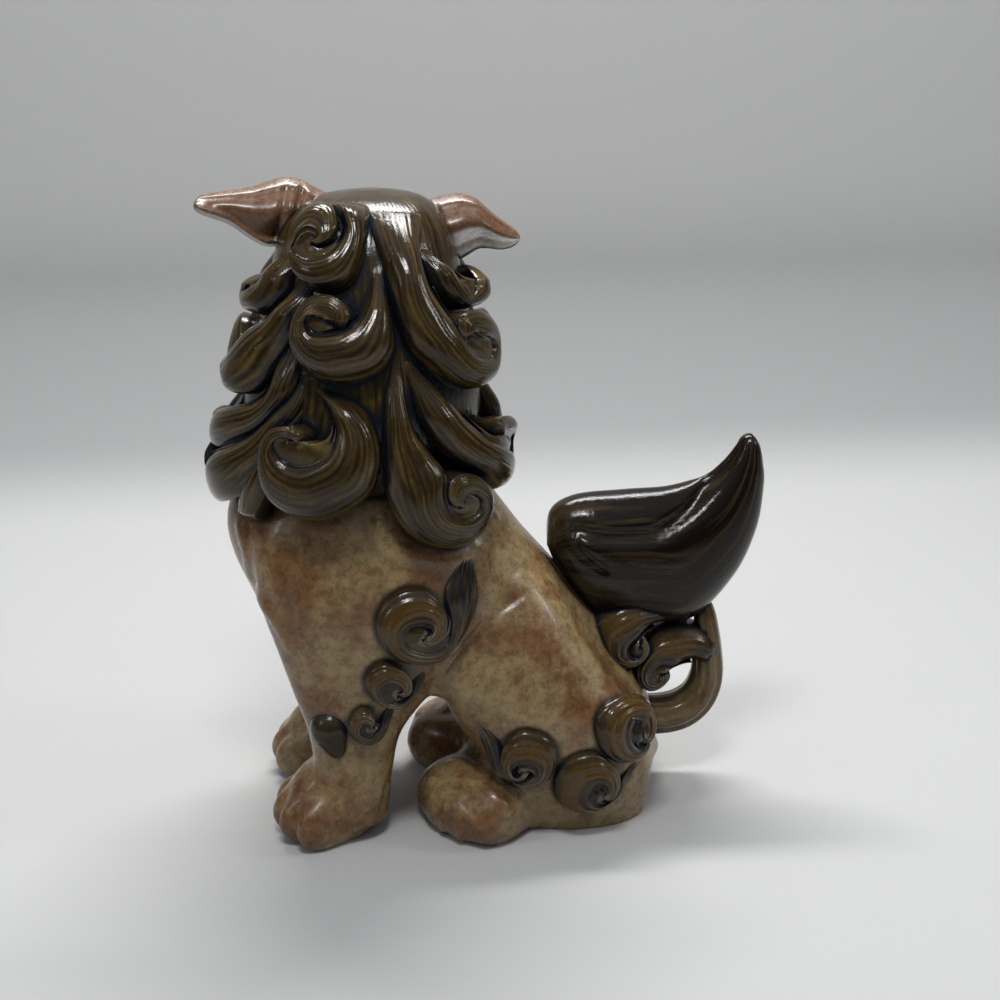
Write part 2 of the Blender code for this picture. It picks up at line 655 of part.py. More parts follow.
def lock_body(lock: Lock, ground: "ManeGround | FlankGround", grow: float) -> bmesh.types.BMesh:
    """Sweep a lock's rounded section along its course over the ground."""
    course = lock_course(lock, ground.offset(lock.root))
    rings = []
    last = len(course) - 1
    for index, (point, inner, outer) in enumerate(course):
        ahead = (course[min(index + 1, last)][0] - course[max(index - 1, 0)][0]).normalized()
        inward = Vector((-ahead.y, ahead.x)) * lock.hand
        height = lock.relief * (inner + outer) / 2
        ends = []
        if index == 0:
            ends.append((-0.55, 0.45))
        ends.append((0.0, 1.0))
        if index == last:
            ends.append((0.50, 0.55))
        for advance, share in ends:
            middle = point + ahead * advance * (inner + grow)
            ring = []
            for step in range(5):
                angle = math.pi * step / 4
                side = -math.cos(angle)
                half = (inner if side > 0 else outer) * share + grow
                place = middle + inward * side * half
                rise = math.sin(angle) * (height * share + grow)
                ring.append(ground.point(*place) + ground.normal(*place) * rise)
            sunk = ground.point(*middle) - ground.normal(*middle) * (LOCK_SEAT_DEPTH + grow)
            ring.append(sunk)
            rings.append(ring)
    return skin(rings)


def tail_curl(lock: Lock, grow: float) -> bmesh.types.BMesh:
    """A curl of the tail: a flattened tube wound in the figure's middle plane."""
    course = lock_course(lock, (lock.root[0] - lock.eye[0], lock.root[1] - lock.eye[1]))
    rings = []
    last = len(course) - 1
    for index, (point, inner, outer) in enumerate(course):
        ahead = (course[min(index + 1, last)][0] - course[max(index - 1, 0)][0]).normalized()
        inward = Vector((-ahead.y, ahead.x)) * lock.hand
        ends = [(0.0, 1.0)]
        if index == 0:
            ends.insert(0, (-0.6, 0.4))
        if index == last:
            ends.append((0.6, 0.55))
        for advance, share in ends:
            place = point + ahead * advance * (inner + grow) + inward * (inner - outer) / 2 * share
            half = (inner + outer) / 2 * share + grow
            depth = TAIL_CURL_THICKNESS / 2 * (0.55 + 0.45 * share) * (0.6 + 0.4 * half / lock.radius * 3)
            depth = min(depth, TAIL_CURL_THICKNESS / 2) + grow
            centre = Vector((lock.eye[0] + place.x, 0, lock.eye[1] + place.y))
            across = Vector((inward.x, 0, inward.y)) * half
            rings.append(oval(centre, across, Vector((0, depth, 0)), TAIL_SIDES, 2.2))
    return skin(rings)


@dataclass
class Piece:
    """One piece of the figure: how it is shaped, at its own size or grown by a joint."""

    name: str
    finish: Finish
    shape: Callable[[float], bmesh.types.BMesh]


def vent() -> bmesh.types.BMesh:
    """The mouth of the firing vent in the seat."""
    bm = bmesh.new()
    bmesh.ops.create_cone(bm, cap_ends=True, segments=16, radius1=VENT_RADIUS, radius2=VENT_RADIUS,
                          depth=2 * VENT_DEPTH)
    bmesh.ops.translate(bm, verts=bm.verts, vec=(VENT_X, 0, FLOOR))
    return bm


def body_pieces() -> list[Piece]:
    """Torso, legs, haunches and feet."""
    pieces = [Piece("torso", BODY_GLAZE, lambda grow: upright(TORSO, 1, grow, BODY_SIDES))]
    for name, side in (("left", -1), ("right", 1)):
        pieces += [
            Piece(f"forepaw_{name}", BODY_GLAZE, lambda grow, s=side: paw(
                FOREPAW_LENGTH, FOREPAW_WIDTH, FOREPAW_HEIGHT, FOREPAW_X, FOREPAW_Y, FOREPAW_TURN, s, grow)),
            Piece(f"foreleg_{name}", BODY_GLAZE, lambda grow, s=side: upright(FORELEG, s, grow, LIMB_SIDES)),
            Piece(f"haunch_{name}", BODY_GLAZE, lambda grow, s=side: upright(HAUNCH, s, grow, LIMB_SIDES)),
            Piece(f"hind_foot_{name}", BODY_GLAZE, lambda grow, s=side: paw(
                HIND_FOOT_LENGTH, HIND_FOOT_WIDTH, HIND_FOOT_HEIGHT, HIND_FOOT_X, HIND_FOOT_Y,
                HIND_FOOT_TURN, s, grow)),
        ]
    return pieces


def head_pieces() -> list[Piece]:
    """The mane's cushion, the ears and the face."""
    pieces = [
        Piece("head", MANE_GLAZE, lambda grow: upright(tuple(reversed(MANE)), 1, grow, BODY_SIDES)),
        Piece("ear_left", EAR_GLAZE, lambda grow: ear(
            EAR_LEFT_LINE, EAR_LEFT_HALF_HEIGHT, EAR_LEFT_THICKNESS, grow)),
        Piece("ear_right", EAR_GLAZE, lambda grow: ear(
            EAR_RIGHT_LINE, EAR_RIGHT_HALF_HEIGHT, EAR_RIGHT_THICKNESS, grow)),
        Piece("muzzle", BODY_GLAZE, muzzle),
        Piece("lower_jaw", BODY_GLAZE, lower_jaw),
        Piece("nose", BODY_GLAZE, nose),
    ]
    for name, side in (("left", -1), ("right", 1)):
        pieces += [
            Piece(f"eye_{name}", EYE_GLAZE, lambda grow, s=side: eyeball(s, grow)),
            Piece(f"brow_{name}", MANE_GLAZE, lambda grow, s=side: brow(s, grow)),
        ]
    return pieces


def curl_pieces() -> list[Piece]:
    """Mane locks, flank curls and the parts of the tail."""
    pieces = [Piece(lock.name, lock.finish, lambda grow, k=lock: tail_curl(k, grow)) for lock in TAIL_CURLS]
    pieces += [
        Piece("tail_plume", PLUME_GLAZE, plume),
        Piece("tail_ring", CURL_GLAZE, tail_ring),
    ]
    pieces += [Piece(lock.name, lock.finish, lambda grow, k=lock: lock_body(k, ManeGround(k.eye), grow))
               for lock in MANE_LOCKS]
    for name, side in (("left", -1), ("right", 1)):
        hosts = [upright(TORSO, 1, 0.0, BODY_SIDES), upright(FORELEG, side, 0.0, LIMB_SIDES),
                 upright(HAUNCH, side, 0.0, LIMB_SIDES)]
        pieces += [Piece(f"{lock.name}_{name}", lock.finish,
                         lambda grow, k=lock, s=side, h=hosts: lock_body(k, FlankGround(k, s, h), grow))
                   for lock in FLANK_CURLS]
        pieces.append(Piece(f"shoulder_ball_{name}", CURL_GLAZE,
                            lambda grow, s=side: shoulder_ball(s, grow)))
    return pieces


def shoulder_ball(side: int, grow: float) -> bmesh.types.BMesh:
    """The plain ball at the front of the row of shoulder curls."""
    bm = bmesh.new()
    bmesh.ops.create_uvsphere(bm, u_segments=10, v_segments=7, radius=SHOULDER_BALL_RADIUS + grow)
    bmesh.ops.triangulate(bm, faces=bm.faces)
    bmesh.ops.translate(bm, verts=bm.verts, vec=(SHOULDER_BALL_X, side * SHOULDER_BALL_Y, SHOULDER_BALL_HEIGHT))
    return bm


def glaze(finish: Finish) -> bpy.types.Material:
    """Make a Principled material for one finish."""
    material = bpy.data.materials.new(finish.name)
    material.use_nodes = True
    shader = material.node_tree.nodes["Principled BSDF"]
    shader.inputs["Base Color"].default_value = (*finish.colour, 1.0)
    shader.inputs["Roughness"].default_value = finish.roughness
    shader.inputs["Metallic"].default_value = finish.metallic
    return material


def to_object(name: str, bm: bmesh.types.BMesh) -> bpy.types.Object:
    """Turn a body into a scene object."""
    mesh = bpy.data.meshes.new(name)
    bm.to_mesh(mesh)
    obj = bpy.data.objects.new(name, mesh)
    bpy.context.scene.collection.objects.link(obj)
    return obj


def bounds(bm: bmesh.types.BMesh) -> tuple[Vector, Vector]:
    """The corners of a body's box."""
    corners = [[function(vertex.co[axis] for vertex in bm.verts) for axis in range(3)]
               for function in (min, max)]
    return Vector(corners[0]), Vector(corners[1])


def meet(first: tuple[Vector, Vector], second: tuple[Vector, Vector]) -> bool:
    """Whether two boxes overlap."""
    return all(first[0][axis] < second[1][axis] and second[0][axis] < first[1][axis] for axis in range(3))


def keep_largest(bm: bmesh.types.BMesh) -> None:
    """Drop the crumbs that a cut leaves beside the piece itself."""
    left = set(bm.verts)
    islands = []
    while left:
        seed = left.pop()
        island, front = {seed}, [seed]
        while front:
            vertex = front.pop()
            for edge in vertex.link_edges:
                other = edge.other_vert(vertex)
                if other in left:
                    left.discard(other)
                    island.add(other)
                    front.append(other)
        islands.append(island)
    if len(islands) > 1:
        def size(island: set) -> float:
            faces = {face for vertex in island for face in vertex.link_faces}
            return sum(face.calc_area() for face in faces)
        islands.sort(key=size, reverse=True)
        for crumb in islands[1:]:
            bmesh.ops.delete(bm, geom=list(crumb), context="VERTS")


def build_piece(piece: Piece, cutters: list[tuple[bpy.types.Object, tuple[Vector, Vector]]]) -> bpy.types.Object:
    """Shape a piece, cut its neighbours' room out of it and return the finished object."""
    body = stand_flat(piece.shape(0.0), FLOOR)
    box = bounds(body)
    obj = to_object(piece.name, body)
    body.free()
    for cutter, cutter_box in cutters:
        if meet(box, cutter_box):
            cut = obj.modifiers.new(f"seat_on_{cutter.name}", "BOOLEAN")
            cut.operation = "DIFFERENCE"
            cut.solver = "EXACT"
            cut.object = cutter
    evaluated = obj.evaluated_get(bpy.context.evaluated_depsgraph_get())
    bm = bmesh.new()
    bm.from_mesh(evaluated.to_mesh())
    evaluated.to_mesh_clear()
    keep_largest(bm)
    bmesh.ops.dissolve_degenerate(bm, dist=1e-6, edges=bm.edges)
    bmesh.ops.dissolve_limit(bm, angle_limit=FLAT_FACET, verts=bm.verts, edges=bm.edges)
    bmesh.ops.triangulate(bm, faces=bm.faces)
    obj.modifiers.clear()
    bm.to_mesh(obj.data)
    bm.free()
    return obj


def main() -> None:
    """Build every piece, seat it on the pieces before it and centre the figure."""
    for obj in list(bpy.data.objects):
        bpy.data.objects.remove(obj, do_unlink=True)
    pieces = body_pieces() + head_pieces() + curl_pieces()
    vent_body = vent()
    cutters = [(to_object("vent_bore", vent_body), bounds(vent_body))]
    vent_body.free()
    built = []
    for piece in pieces:
        obj = build_piece(piece, cutters)
        obj.data.materials.append(glaze(piece.finish))
        obj.data.shade_smooth()
        obj.data.set_sharp_from_angle(angle=SHARP_EDGE)
        built.append(obj)
        grown = piece.shape(SLIP_JOINT)
        grown_box = bounds(grown)
        cutter = to_object(f"room_for_{piece.name}", grown)
        cutter.hide_render = True
        cutter.display_type = "WIRE"
        grown.free()
        cutters.append((cutter, grown_box))
    for cutter, _ in cutters:
        bpy.data.objects.remove(cutter, do_unlink=True)
    low = [min(vertex.co[axis] for obj in built for vertex in obj.data.vertices) for axis in range(3)]
    high = [max(vertex.co[axis] for obj in built for vertex in obj.data.vertices) for axis in range(3)]
    root = bpy.data.objects.new("figure_centre", None)
    root.location = (-(low[0] + high[0]) / 2, -(low[1] + high[1]) / 2, -low[2])
    bpy.context.scene.collection.objects.link(root)
    for obj in built:
        obj.parent = root


main()
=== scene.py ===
"""The looks of a seated guardian lion dog in glazed stoneware.

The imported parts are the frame. Round them this file models the figure as the glaze leaves
it: a body of smoothly joined clay, combed locks that wind into curls, ribbed curls on the
flanks, a flame-shaped plume with a looped tail, cupped ears and a face. Lengths are in
metres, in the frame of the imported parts.
"""
import logging
import math
from collections.abc import Callable
from dataclasses import dataclass, field, replace
from enum import Enum

import bpy
import numpy as np
from mathutils import Matrix, Vector


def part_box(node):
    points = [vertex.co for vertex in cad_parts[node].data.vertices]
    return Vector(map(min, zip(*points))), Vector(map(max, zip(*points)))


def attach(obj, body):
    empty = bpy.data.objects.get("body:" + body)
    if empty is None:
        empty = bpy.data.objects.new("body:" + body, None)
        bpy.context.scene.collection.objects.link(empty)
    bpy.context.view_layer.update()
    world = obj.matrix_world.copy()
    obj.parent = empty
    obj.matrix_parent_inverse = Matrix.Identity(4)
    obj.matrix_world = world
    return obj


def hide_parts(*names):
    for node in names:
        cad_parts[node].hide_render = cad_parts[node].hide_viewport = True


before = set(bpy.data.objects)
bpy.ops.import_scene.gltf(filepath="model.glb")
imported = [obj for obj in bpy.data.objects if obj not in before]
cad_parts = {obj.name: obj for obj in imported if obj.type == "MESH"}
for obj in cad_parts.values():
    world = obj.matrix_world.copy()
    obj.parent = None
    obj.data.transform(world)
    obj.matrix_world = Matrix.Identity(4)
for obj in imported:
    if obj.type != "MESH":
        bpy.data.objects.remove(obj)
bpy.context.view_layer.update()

LOG = logging.getLogger("lion_dog")
Array = np.ndarray
Pair = tuple[float, float]
Triple = tuple[float, float, float]
Object, Tree, Socket = bpy.types.Object, bpy.types.NodeTree, bpy.types.NodeSocket
Value = Socket | float | tuple | str

MM = 0.001
FAR = 1.0  # a distance that counts as nothing near
SHARP = 1e-5  # a fillet that leaves an edge sharp


class Wind(Enum):
    """The way that a curl winds in to its eye, seen from outside."""

    CLOCKWISE = -1
    ANTICLOCKWISE = 1


# Placing

def figure_shift() -> Array:
    """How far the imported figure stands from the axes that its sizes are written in.

    Returns:
        The shift, as three lengths.
    """
    low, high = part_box("torso")
    return np.array([(low.x + high.x) / 2 + 0.0165, (low.y + high.y) / 2, 0.0])


SHIFT = figure_shift()


@dataclass(frozen=True)
class Sight:
    """The photograph's viewpoint, as a camera that looks at the middle of the figure."""

    azimuth: float = math.radians(-8.0)
    elevation: float = math.radians(20.0)
    distance: float = 0.5
    target: Triple = (0.0, 0.0, 0.1007)
    focal: float = 1.6
    middle: float = 500.0

    def back(self) -> Array:
        """The direction from the figure to the camera."""
        return np.array([math.sin(self.azimuth) * math.cos(self.elevation),
                         -math.cos(self.azimuth) * math.cos(self.elevation), math.sin(self.elevation)])

    def right(self) -> Array:
        """The direction that runs to the right of the picture."""
        return np.array([math.cos(self.azimuth), math.sin(self.azimuth), 0.0])

    def up(self) -> Array:
        """The direction that runs up the picture."""
        return np.cross(self.back(), self.right())

    def position(self) -> Array:
        """Where the camera is."""
        return np.array(self.target) + self.distance * self.back()

    def ray(self, across: float, down: float) -> Array:
        """The direction seen at a place of the thousand-wide picture."""
        scale = self.focal * 2 * self.middle
        return -self.back() + self.right() * (across - self.middle) / scale + self.up() * (self.middle - down) / scale

    def places(self, across: float, down: float, start: float, stop: float, step: float) -> Array:
        """Places along the line of sight through a place of the picture, from one distance to another."""
        return self.position() + np.arange(start, stop, step)[:, None] * self.ray(across, down)

    def on_flank(self, across: float, down: float, y: float) -> Array:
        """Where a place of the picture lies on an upright plane along the figure, as x and z."""
        start, ray = self.position(), self.ray(across, down)
        return (start + ray * (y - start[1]) / ray[1])[[0, 2]]

    def matrix(self) -> Matrix:
        """The camera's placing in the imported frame."""
        turn = Matrix([Vector(self.right()), Vector(self.up()), Vector(self.back())]).transposed().to_4x4()
        return Matrix.Translation(self.position() + SHIFT) @ turn


SIGHT = Sight()


# Curves and meshes

def curve_at(values: Array, at: Array) -> Array:
    """Read a smooth curve through evenly numbered values.

    Args:
        values: One row for each knot.
        at: Places to read, counted in knots.

    Returns:
        One row for each place.
    """
    values = np.asarray(values, float)
    last = len(values) - 1
    base = np.clip(np.floor(at).astype(int), 0, max(last - 1, 0))
    t = at - base
    if values.ndim > 1:
        t = t[:, None]
    p0, p1 = values[np.maximum(base - 1, 0)], values[base]
    p2, p3 = values[np.minimum(base + 1, last)], values[np.minimum(base + 2, last)]
    return 0.5 * (2 * p1 + (p2 - p0) * t + (2 * p0 - 5 * p1 + 4 * p2 - p3) * t ** 2
                  + (3 * p1 - p0 - 3 * p2 + p3) * t ** 3)


def smooth_line(points: list, per_span: int = 8) -> Array:
    """Read a smooth line through points at even steps of its knots."""
    knots = np.asarray(points, float)
    return curve_at(knots, np.linspace(0, len(knots) - 1, per_span * (len(knots) - 1) + 1))


def placed(name: str, data: bpy.types.ID) -> Object:
    """A new object of the scene.

    Args:
        name: Its name.
        data: What it shows.

    Returns:
        The object.
    """
    obj = bpy.data.objects.new(name, data)
    bpy.context.scene.collection.objects.link(obj)
    return obj


def make_object(name: str, points: Array, faces: list, attributes: dict[str, Array] | None = None) -> Object:
    """Make a smooth-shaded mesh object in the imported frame.

    Args:
        name: The piece's name.
        points: Its vertices, before the figure's shift.
        faces: Vertex numbers of each face.
        attributes: Values for each vertex, by name.

    Returns:
        The new object.
    """
    mesh = bpy.data.meshes.new(name)
    mesh.from_pydata((np.asarray(points) + SHIFT).tolist(), [], faces)
    for key, values in (attributes or {}).items():
        layer = mesh.attributes.new(key, "FLOAT", "POINT")
        layer.data.foreach_set("value", np.asarray(values, np.float32))
    mesh.shade_smooth()
    mesh.update()
    return placed(name, mesh)


def length(vectors: Array) -> Array:
    """How long vectors are, along their last axis."""
    return np.linalg.norm(vectors, axis=-1)


def first_below(values: Array, limit: float) -> int:
    """The number of the first value below a limit, or else of the least one."""
    hits = np.nonzero(values < limit)[0]
    return int(hits[0] if len(hits) else np.argmin(values))


def unit(vectors: Array) -> Array:
    """Vectors made one long, along their last axis."""
    return vectors / np.maximum(np.linalg.norm(vectors, axis=-1, keepdims=True), 1e-9)


def ring_skin(rings: Array) -> tuple[Array, list]:
    """Close a stack of equal rings into one body, with a middle point in each end.

    Args:
        rings: Stations by points by three.

    Returns:
        Vertices and faces, turned outward.
    """
    stations, around = rings.shape[:2]
    points = np.concatenate([rings.reshape(-1, 3), rings[0].mean(0)[None], rings[-1].mean(0)[None]])
    number = np.arange(stations * around).reshape(stations, around)
    after = np.roll(number, -1, axis=1)
    faces = np.stack([number[:-1], after[:-1], after[1:], number[1:]], -1).reshape(-1, 4).tolist()
    start, end = stations * around, stations * around + 1
    faces += [[start, int(b), int(a)] for a, b in zip(number[0], after[0])]
    faces += [[end, int(a), int(b)] for a, b in zip(number[-1], after[-1])]
    index = np.array([(face[0], face[k], face[k + 1]) for face in faces for k in range(1, len(face) - 1)])
    a, b, c = (points[index[:, k]] - points.mean(0) for k in range(3))
    if np.einsum("ij,ij->i", a, np.cross(b, c)).sum() < 0:
        faces = [face[::-1] for face in faces]
    return points, faces


# Clay: shapes that join smoothly

def smooth_min(first: Array, second: Array, blend: float) -> Array:
    """Join two distance fields with a fillet."""
    share = np.clip(0.5 + 0.5 * (second - first) / blend, 0, 1)
    return second + (first - second) * share - blend * share * (1 - share)


@dataclass(frozen=True)
class Level:
    """One level section of an upright form."""

    height: float
    front: float
    back: float
    near: float
    far: float


def level_rows(*rows: tuple[float, ...]) -> tuple[Level, ...]:
    """Level sections from rows of their five sizes in mm."""
    return tuple(Level(*(value / 1000 for value in row)) for row in rows)


class Shape:
    """A form that is pressed on a block of clay or cut from it, with the box round it."""

    low: Array
    high: Array

    def distance(self, x: Array, y: Array, z: Array) -> Array:
        """How far points are from the form, negative inside."""
        raise NotImplementedError


class Tower(Shape):
    """An upright form lofted through level sections."""

    MARGIN = 0.012

    def __init__(self, levels: tuple[Level, ...], side: int = 1, power: float = 2.2) -> None:
        """Read the sections off a smooth curve through the given ones.

        Args:
            levels: The level sections, from any end.
            side: 1 as written, -1 mirrored to the left flank.
            power: How square the sections are, 2 for an ellipse.
        """
        rows = np.array([(k.height, k.front, k.back, k.near, k.far) for k in levels])
        fine = smooth_line(rows, 24)
        fine = fine[np.argsort(fine[:, 0])]
        self.heights = fine[:, 0]
        self.centre_x = (fine[:, 1] + fine[:, 2]) / 2
        self.centre_y = side * (fine[:, 3] + fine[:, 4]) / 2
        self.half_x = (fine[:, 2] - fine[:, 1]) / 2
        self.half_y = np.abs(fine[:, 4] - fine[:, 3]) / 2
        self.power = power
        m = self.MARGIN
        self.low = np.array([fine[:, 1].min() - m, (self.centre_y - self.half_y).min() - m, fine[0, 0] - m])
        self.high = np.array([fine[:, 2].max() + m, (self.centre_y + self.half_y).max() + m, fine[-1, 0] + m])

    def distance(self, x: Array, y: Array, z: Array) -> Array:
        """How far points are from the form, negative inside.

        Args:
            x: Their distances along the figure.
            y: Across it.
            z: Up from the floor.

        Returns:
            One distance for each point.
        """
        cx, cy, hx, hy = (np.interp(z, self.heights, values).astype(np.float32)
                          for values in (self.centre_x, self.centre_y, self.half_x, self.half_y))
        dx, dy = x - cx, y - cy
        power = self.power
        share = (np.abs(dx / hx) ** power + np.abs(dy / hy) ** power) ** (1 / power) + 1e-6
        level = np.sqrt(dx * dx + dy * dy) * (1 - 1 / share)
        return np.maximum(level, np.maximum(z - self.heights[-1], self.heights[0] - z))


class Roll(Shape):
    """A rolled strip of clay along a line, with a radius at each point."""

    MARGIN = 0.008

    def __init__(self, points: Array, radii: Array | float) -> None:
        """Keep the line and its radii.

        Args:
            points: The line's points.
            radii: One for each, or one for all.
        """
        self.points = np.asarray(points, np.float32)
        self.radii = np.broadcast_to(np.asarray(radii, np.float32), (len(self.points),))
        reach = self.radii.max() + self.MARGIN
        self.low, self.high = self.points.min(0) - reach, self.points.max(0) + reach

    def distance(self, x: Array, y: Array, z: Array) -> Array:
        """How far points are from the roll, negative inside.

        Args:
            x: Their distances along the figure.
            y: Across it.
            z: Up from the floor.

        Returns:
            One distance for each point.
        """
        best = None
        for a, b, ra, rb in zip(self.points, self.points[1:], self.radii, self.radii[1:]):
            step = b - a
            square = float(step @ step) + 1e-12
            share = np.clip(((x - a[0]) * step[0] + (y - a[1]) * step[1] + (z - a[2]) * step[2]) / square, 0, 1)
            away = np.sqrt((x - a[0] - share * step[0]) ** 2 + (y - a[1] - share * step[1]) ** 2
                           + (z - a[2] - share * step[2]) ** 2) - (ra + share * (rb - ra))
            best = away if best is None else np.minimum(best, away)
        return best


class Egg(Shape):
    """A rounded lump with three half sizes, turned about the upright axis."""

    MARGIN = 0.008

    def __init__(self, centre: Array | Triple, half: Triple, turn: float = 0.0, power: float = 2.0) -> None:
        """Keep the lump's place, sizes and turn, and how square it is.

        Args:
            centre: Its middle.
            half: Its half sizes.
            turn: Its turn, in radians.
            power: 2 for an ellipsoid, more for a squarer lump.
        """
        self.power = power
        self.centre = np.asarray(centre, np.float32)
        self.half = np.asarray(half, np.float32)
        matrix = Matrix.Rotation(turn, 3, "Z")
        self.axes = np.array(matrix.transposed(), np.float32)
        reach = float(self.half.max()) + self.MARGIN
        self.low, self.high = self.centre - reach, self.centre + reach

    def distance(self, x: Array, y: Array, z: Array) -> Array:
        """How far points are from the lump, negative inside.

        Args:
            x: Their distances along the figure.
            y: Across it.
            z: Up from the floor.

        Returns:
            One distance for each point.
        """
        local = [(x - self.centre[0]) * axis[0] + (y - self.centre[1]) * axis[1]
                 + (z - self.centre[2]) * axis[2] for axis in self.axes]
        if self.power != 2.0:
            near = sum(np.abs(value / size) ** self.power for value, size in zip(local, self.half)) ** (1 / self.power)
            return np.sqrt(sum(value ** 2 for value in local)) * (1 - 1 / (near + 1e-6))
        near = np.sqrt(sum((value / size) ** 2 for value, size in zip(local, self.half)))
        steep = np.sqrt(sum((value / size ** 2) ** 2 for value, size in zip(local, self.half)))
        return near * (near - 1.0) / (steep + 1e-6)


class Clay:
    """A block of clay: a grid of distances to the surface, negative inside."""

    LOOK = (0.36, 0.64, 0.0003)

    def __init__(self, low: Triple, high: Triple, step: float) -> None:
        """Start with nothing in the block.

        Args:
            low: Its lowest corner.
            high: Its highest corner.
            step: How far its places lie apart.
        """
        self.low = np.array(low, float)
        self.step = step
        counts = [int(math.ceil((b - a) / step)) + 1 for a, b in zip(low, high)]
        self.axes = [self.low[k] + step * np.arange(counts[k]) for k in range(3)]
        self.field = np.full(counts, FAR, np.float32)

    def window(self, low: Array, high: Array) -> tuple[tuple, list]:
        """The part of the grid inside a box, and its coordinates.

        Args:
            low: The box's lowest corner.
            high: Its highest corner.

        Returns:
            The slices of the grid and its x, y and z.
        """
        cut, grids = [], []
        for k in range(3):
            start = max(0, int(math.floor((low[k] - self.low[k]) / self.step)))
            stop = min(self.field.shape[k], int(math.ceil((high[k] - self.low[k]) / self.step)) + 1)
            cut.append(slice(start, max(stop, start)))
            shape = [1, 1, 1]
            shape[k] = -1
            grids.append(self.axes[k][cut[k]].astype(np.float32).reshape(shape))
        return tuple(cut), grids

    def add(self, shape: Shape, blend: float) -> None:
        """Press a shape on, with a fillet of a given size."""
        cut, (x, y, z) = self.window(shape.low, shape.high)
        self.field[cut] = smooth_min(self.field[cut], shape.distance(x, y, z), blend)

    def carve(self, shape: Shape, blend: float) -> None:
        """Take a shape away, with a rounded edge."""
        cut, (x, y, z) = self.window(shape.low, shape.high)
        self.field[cut] = -smooth_min(-self.field[cut], shape.distance(x, y, z), blend)

    def stroke(self, line: Array, width: float, lift: float) -> None:
        """Draw a soft ridge, or a groove where lift is negative, along a line on the surface.

        Args:
            line: Points on the surface.
            width: How far it spreads to each side.
            lift: How high it stands.
        """
        shape = Roll(line, 0.0)
        reach = 3 * width
        cut, (x, y, z) = self.window(shape.points.min(0) - reach, shape.points.max(0) + reach)
        away = shape.distance(x, y, z) / width
        self.field[cut] -= lift * np.exp(-away ** 2)

    def copy(self) -> "Clay":
        """A block with the same grid and the same content.

        Returns:
            The other block.
        """
        other = Clay.__new__(Clay)
        other.low, other.step, other.axes, other.field = self.low, self.step, self.axes, self.field.copy()
        return other

    def read(self, points: Array) -> Array:
        """Distances at any points, read between the grid's own.

        Args:
            points: One row for each point.

        Returns:
            One distance for each point.
        """
        place = (points - self.low) / self.step
        top = np.array(self.field.shape) - 2
        base = np.clip(np.floor(place).astype(int), 0, top)
        t = np.clip(place - base, 0, 1)
        total = np.zeros(len(points))
        for corner in range(8):
            offset = np.array([corner & 1, corner >> 1 & 1, corner >> 2 & 1])
            weight = np.prod(np.where(offset, t, 1 - t), axis=1)
            index = base + offset
            total += weight * self.field[index[:, 0], index[:, 1], index[:, 2]]
        return total

    def slope(self, points: Array) -> Array:
        """The direction in which the distance grows."""
        steps = self.step * np.eye(3)
        return np.stack([self.read(points + step) - self.read(points - step) for step in steps], 1) / (2 * self.step)

    def seen(self, across: float, down: float) -> Array | None:
        """Where the picture's line of sight first meets the clay.

        Args:
            across: How far right in the picture.
            down: How far down in it.

        Returns:
            The point, or None where the line misses the block.
        """
        points = SIGHT.places(across, down, *self.LOOK)
        points = points[np.all((points > self.low)
                               & (points < self.low + self.step * (np.array(self.field.shape) - 1)), 1)]
        return points[first_below(self.read(points), 0)] if len(points) else None

    def traced(self, places: tuple[Pair, ...]) -> Array:
        """A line on the clay through places of the picture."""
        found = [self.seen(*place) for place in places]
        return smooth_line([point for point in found if point is not None], 6)

    def surface(self) -> tuple[Array, list]:
        """The clay's skin as quads, each vertex moved onto the surface.

        Returns:
            Vertices and faces, turned outward.
        """
        field = self.field
        inside = field < 0
        lower = [slice(None, -1), slice(1, None)]
        count = sum(inside[lower[a], lower[b], lower[c]].astype(np.uint8)
                    for a in (0, 1) for b in (0, 1) for c in (0, 1))
        active = (count > 0) & (count < 8)
        cells = np.argwhere(active)
        number = np.full(active.shape, -1, np.int64)
        number[active] = np.arange(len(cells))
        total, hits = np.zeros((len(cells), 3)), np.zeros(len(cells))
        corners = [np.array([k & 1, k >> 1 & 1, k >> 2 & 1]) for k in range(8)]
        values = [field[tuple((cells + corner).T)] for corner in corners]
        for a, b in ((a, a | bit) for a in range(8) for bit in (1, 2, 4) if not a & bit):
            crossed = (values[a] < 0) != (values[b] < 0)
            share = np.where(crossed, values[a] / (values[a] - values[b] + 1e-20), 0)
            total += np.where(crossed[:, None], corners[a] + share[:, None] * (corners[b] - corners[a]), 0)
            hits += crossed
        points = (cells + total / hits[:, None]) * self.step + self.low
        for _ in range(2):
            slope = self.slope(points)
            steep = np.maximum((slope ** 2).sum(1), 0.05)
            move = np.clip(self.read(points) / steep, -self.step / 2, self.step / 2)
            points = points - move[:, None] * slope
        faces = []
        for axis in range(3):
            one, two = (axis + 1) % 3, (axis + 2) % 3
            ahead, behind = [slice(None)] * 3, [slice(None)] * 3
            ahead[axis], behind[axis] = slice(1, None), slice(None, -1)
            edges = np.argwhere(inside[tuple(behind)] != inside[tuple(ahead)])
            top = np.array(active.shape)
            keep = (edges[:, one] >= 1) & (edges[:, two] >= 1) & (edges[:, one] < top[one]) & (edges[:, two] < top[two])
            edges = edges[keep]
            outward = inside[tuple(edges.T)]
            ring = []
            for shift_one, shift_two in ((1, 1), (0, 1), (0, 0), (1, 0)):
                cell = edges.copy()
                cell[:, one] -= shift_one
                cell[:, two] -= shift_two
                ring.append(number[tuple(cell.T)])
            quads = np.stack(ring, 1)
            quads[~outward] = quads[~outward][:, ::-1]
            faces.append(quads)
        return points, np.concatenate(faces).tolist()


